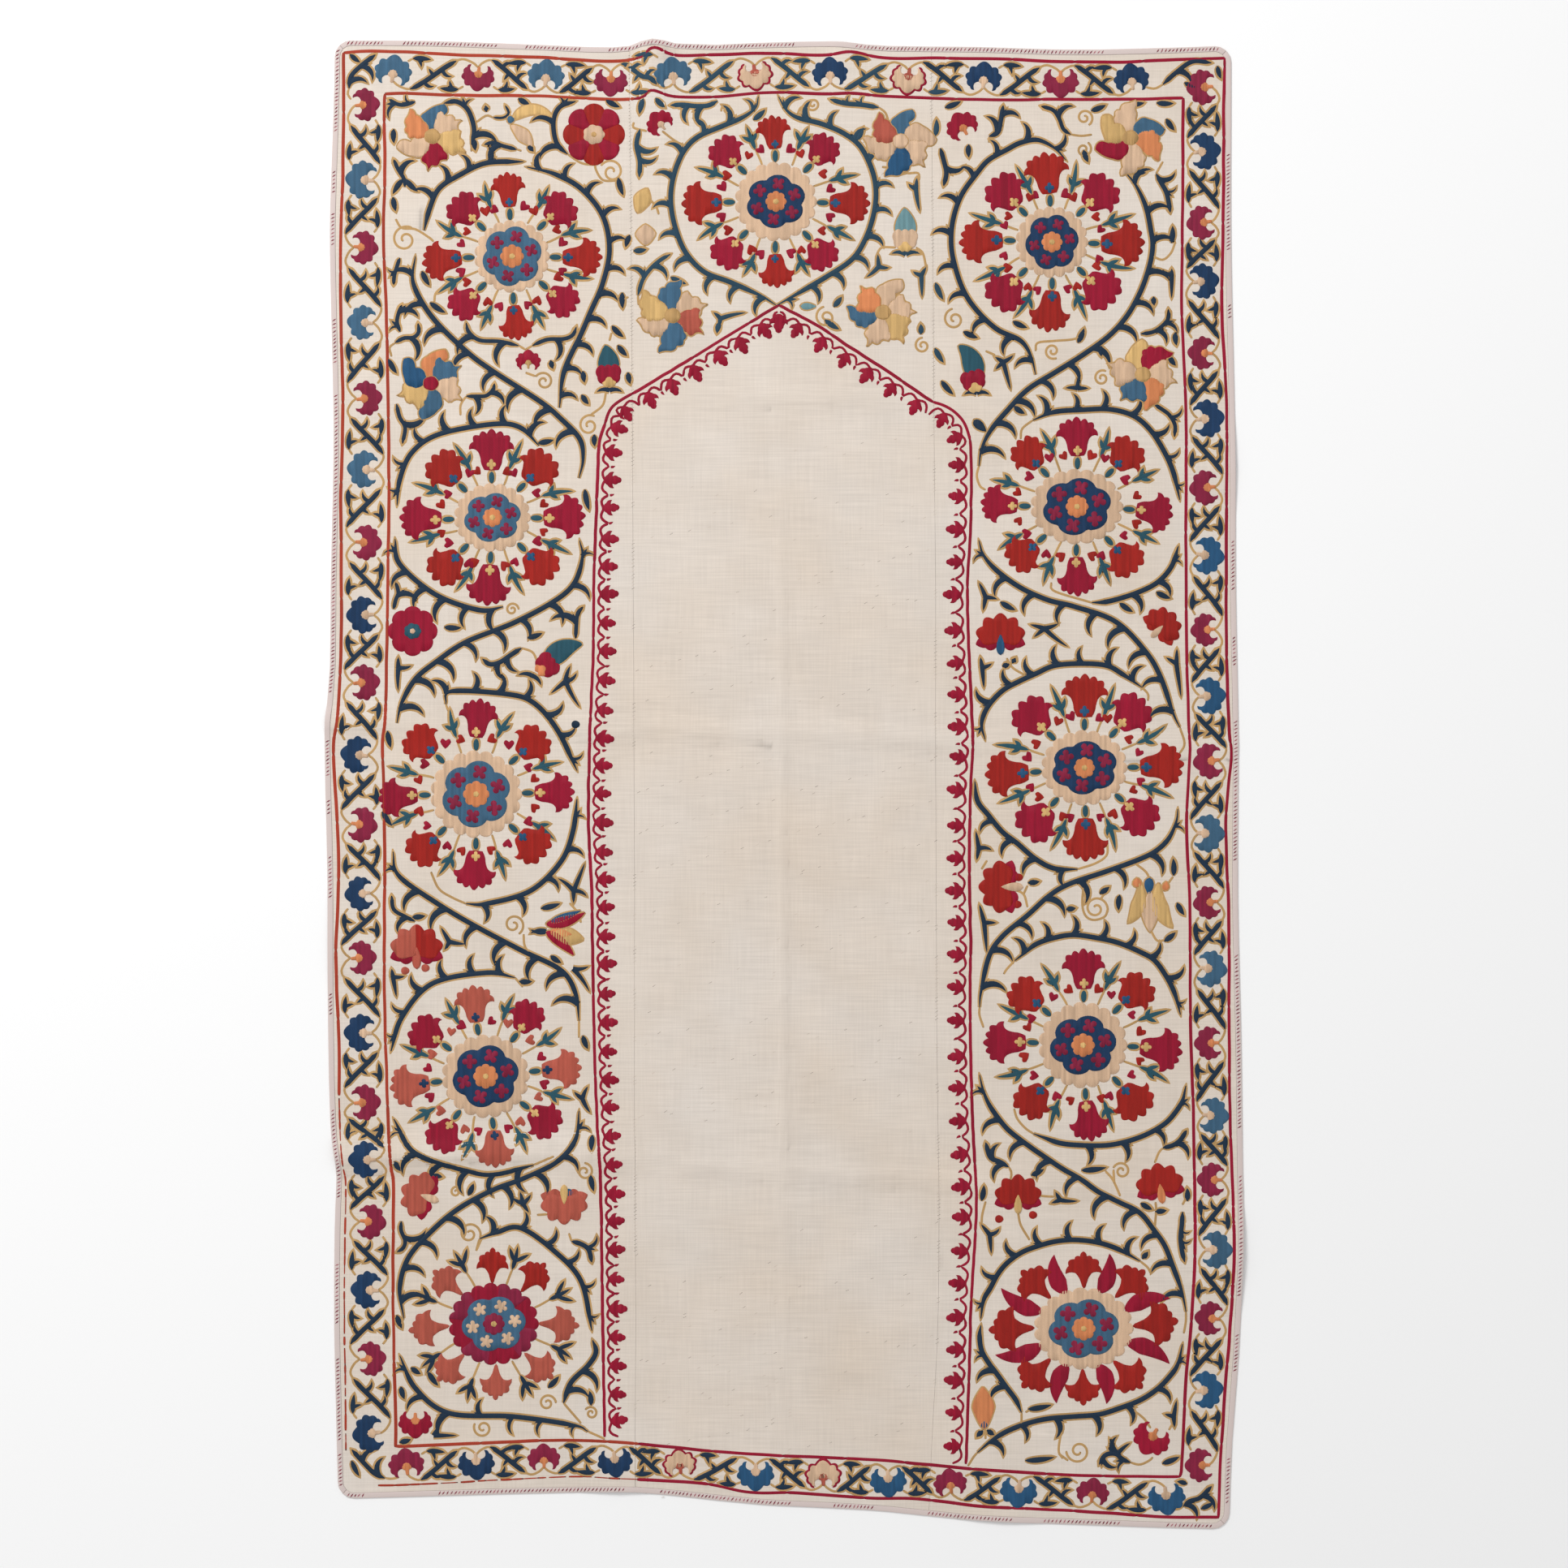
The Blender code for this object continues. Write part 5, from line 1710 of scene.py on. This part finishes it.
class SUZANI_OT_flowers(bpy.types.Operator):
    """Embroider the single flowers between the medallions"""

    bl_idname = "suzani.flowers"
    bl_label = "Flowers"

    def execute(self, context):
        tree = cloth_tree()
        for part in ("left", "top", "right"):
            work = Needlework(f"flowers_{part}", tree)
            for rows, make in (
                (PINWHEELS, self.pinwheel), (BLOOMS, self.bloom), (BUDS, self.bud), (PETALS, self.petal)):
                for row in rows:
                    if part_of_cloth(row.x) == part:
                        make(work, row)
            for silk, x, y in BERRIES:
                if part_of_cloth(x) == part:
                    work.couch(placed(lobed(6.5, 6.0, 3, 0.1, points=21), x, y), silk)
            if part == "left":
                self.rosette(work, -281, 960, 46, ("brick", "crimson"), "tan")
                self.rosette(work, -549, 226, 37, ("crimson", "crimson"), "teal")
            work.finish()
        return {"FINISHED"}

    def rimmed(self, work, outline, silk, layer=0):
        """Couched work with a line of gold round it."""
        closed = evenly(np.vstack([outline, outline[:2]]), 4.2)
        work.chain(closed, RIM_LINE, "gold", flat, RIM_RISE + layer * work.sizes.layer)
        work.couch(outline, silk, layer=layer)

    def pinwheel(self, work, row):
        silks = row.petals.split()
        for k, silk in enumerate(silks):
            heading = row.heading - k * 360 / len(silks) + work.draw.uniform(-7, 7)
            outline = work.draw.choice(CURLED_PETALS)
            outline = outline * (work.draw.uniform(0.84, 0.98), work.draw.uniform(0.74, 0.86))
            spot = onward(row.x, row.y, heading, 5)
            self.rimmed(work, placed(outline, *spot, heading - 90), silk, 1.5 + 0.5 * k)
        self.rimmed(work, placed(lobed(12, 11, 5, 0.08, points=35), row.x, row.y), row.heart, 5)

    def bloom(self, work, row):
        if row.top == row.base == "crimson":
            work.couch(placed(PALMETTE, row.x, row.y, row.turn, row.size * 1.25), "crimson")
            work.couch(placed(CALYX, row.x, row.y, row.turn, row.size * 1.25), row.calyx, layer=1)
            return
        work.couch(placed(BLOOM_BASE, row.x, row.y, row.turn, row.size), row.base)
        work.couch(placed(BLOOM_TOP, row.x, row.y, row.turn, row.size), row.top, layer=1)
        if row.half:
            side = [spot for spot in BLOOM_TOP if spot[0] <= 0.1]
            work.couch(placed(side, row.x, row.y, row.turn, row.size), row.half, layer=2)
        foot = onward(row.x, row.y, row.turn - 90, 32 * row.size)
        work.couch(placed(blade(30, 12, 0, lance), *foot, row.turn, row.size), row.calyx, layer=2)

    def bud(self, work, row):
        cap = blade(row.span, 32, row.bend, lance)
        spot = onward(row.x, row.y, row.turn + 90, 16)
        self.rimmed(work, placed(cap, *spot, row.turn), row.cap)
        work.couch(placed(BUD_BODY, row.x, row.y, row.turn), row.body, layer=1)
        work.couch(placed(BUD_FOOT, row.x, row.y, row.turn), row.foot, layer=2)

    def petal(self, work, row):
        outline = blade(row.span, row.width, row.bend, petal if row.width > 19 else lance, 2.2)
        self.rimmed(work, placed(outline, row.x, row.y, row.heading - 90), row.silk)

    def rosette(self, work, x, y, reach, silks, heart):
        outline = placed(lobed(reach, reach, 8, 0.13, points=96), x, y)
        work.couch(outline, silks[0])
        if silks[0] != silks[1]:
            for k in range(4):
                first = 24 * k + 6
                work.couch([(x, y), *np.roll(outline, -first, axis=0)[:13]], silks[1], layer=1)
        work.couch(placed(lobed(reach * 0.36, reach * 0.33, 7, 0.15, points=49), x, y), heart, layer=2)
        seed = placed(lobed(4.5, 4.5, 5, 0.1, points=20), x, y)
        work.couch(seed, "tan" if heart == "teal" else "gold", layer=3)


class SUZANI_OT_stage(bpy.types.Operator):
    """Set up the floor, the soft light and the camera"""

    bl_idname = "suzani.stage"
    bl_label = "Stage"

    def execute(self, context):
        stage = settings().stage
        scene = context.scene
        scene.view_settings.view_transform = "Standard"
        world = bpy.data.worlds.new("studio")
        world.use_nodes = True
        world.node_tree.nodes["Background"].inputs["Color"].default_value = (1, 1, 1, 1)
        world.node_tree.nodes["Background"].inputs["Strength"].default_value = stage.sky
        scene.world = world

        ground = bmesh.new()
        bmesh.ops.create_grid(ground, x_segments=1, y_segments=1, size=stage.floor / 2)
        mesh = bpy.data.meshes.new("floor")
        ground.to_mesh(mesh)
        ground.free()
        mesh.materials.append(new_material("floor_paint", (0.98, 0.98, 0.98), 0.9)[0])
        floor = bpy.data.objects.new("floor", mesh)
        scene.collection.objects.link(floor)

        lamp = bpy.data.lights.new("soft_lamp", "AREA")
        lamp.shape = "DISK"
        lamp.size = stage.lamp_size
        lamp.energy = stage.lamp
        soft = bpy.data.objects.new("soft_lamp", lamp)
        soft.location = (-2.9, 3.7, 4.4)
        aim = Vector((0, 0.2, 0)) - soft.location
        soft.rotation_euler = aim.to_track_quat("-Z", "Y").to_euler()
        scene.collection.objects.link(soft)

        lens = bpy.data.cameras.new("camera")
        lens.lens = stage.lens
        camera = bpy.data.objects.new("camera", lens)
        camera.location = (0, 0, stage.lens / lens.sensor_width * stage.view_width)
        scene.collection.objects.link(camera)
        scene.camera = camera
        return {"FINISHED"}


class SUZANI_PT_steps(bpy.types.Panel):
    """The suzani's steps, in the order in which they are made"""

    bl_label = "Suzani"
    bl_idname = "SUZANI_PT_steps"
    bl_space_type = "VIEW_3D"
    bl_region_type = "UI"
    bl_category = "Suzani"

    def draw(self, context):
        for step in STEPS:
            self.layout.operator(step.bl_idname)


GROUPS = (ClothSizes, StitchSizes, SilkColours, StageSizes, SuzaniSettings)
STEPS = (
    SUZANI_OT_stage,
    SUZANI_OT_cloth,
    SUZANI_OT_seams,
    SUZANI_OT_braid,
    SUZANI_OT_border,
    SUZANI_OT_niche,
    SUZANI_OT_medallions,
    SUZANI_OT_vines,
    SUZANI_OT_flowers,
)


def register():
    for item in (*GROUPS, *STEPS, SUZANI_PT_steps):
        bpy.utils.register_class(item)
    bpy.types.Scene.suzani = PointerProperty(type=SuzaniSettings)


def unregister():
    del bpy.types.Scene.suzani
    for item in reversed((*GROUPS, *STEPS, SUZANI_PT_steps)):
        bpy.utils.unregister_class(item)


def main():
    register()
    for step in STEPS:
        space, name = step.bl_idname.split(".")
        getattr(getattr(bpy.ops, space), name)()
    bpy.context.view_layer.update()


if __name__ == "__main__":
    main()
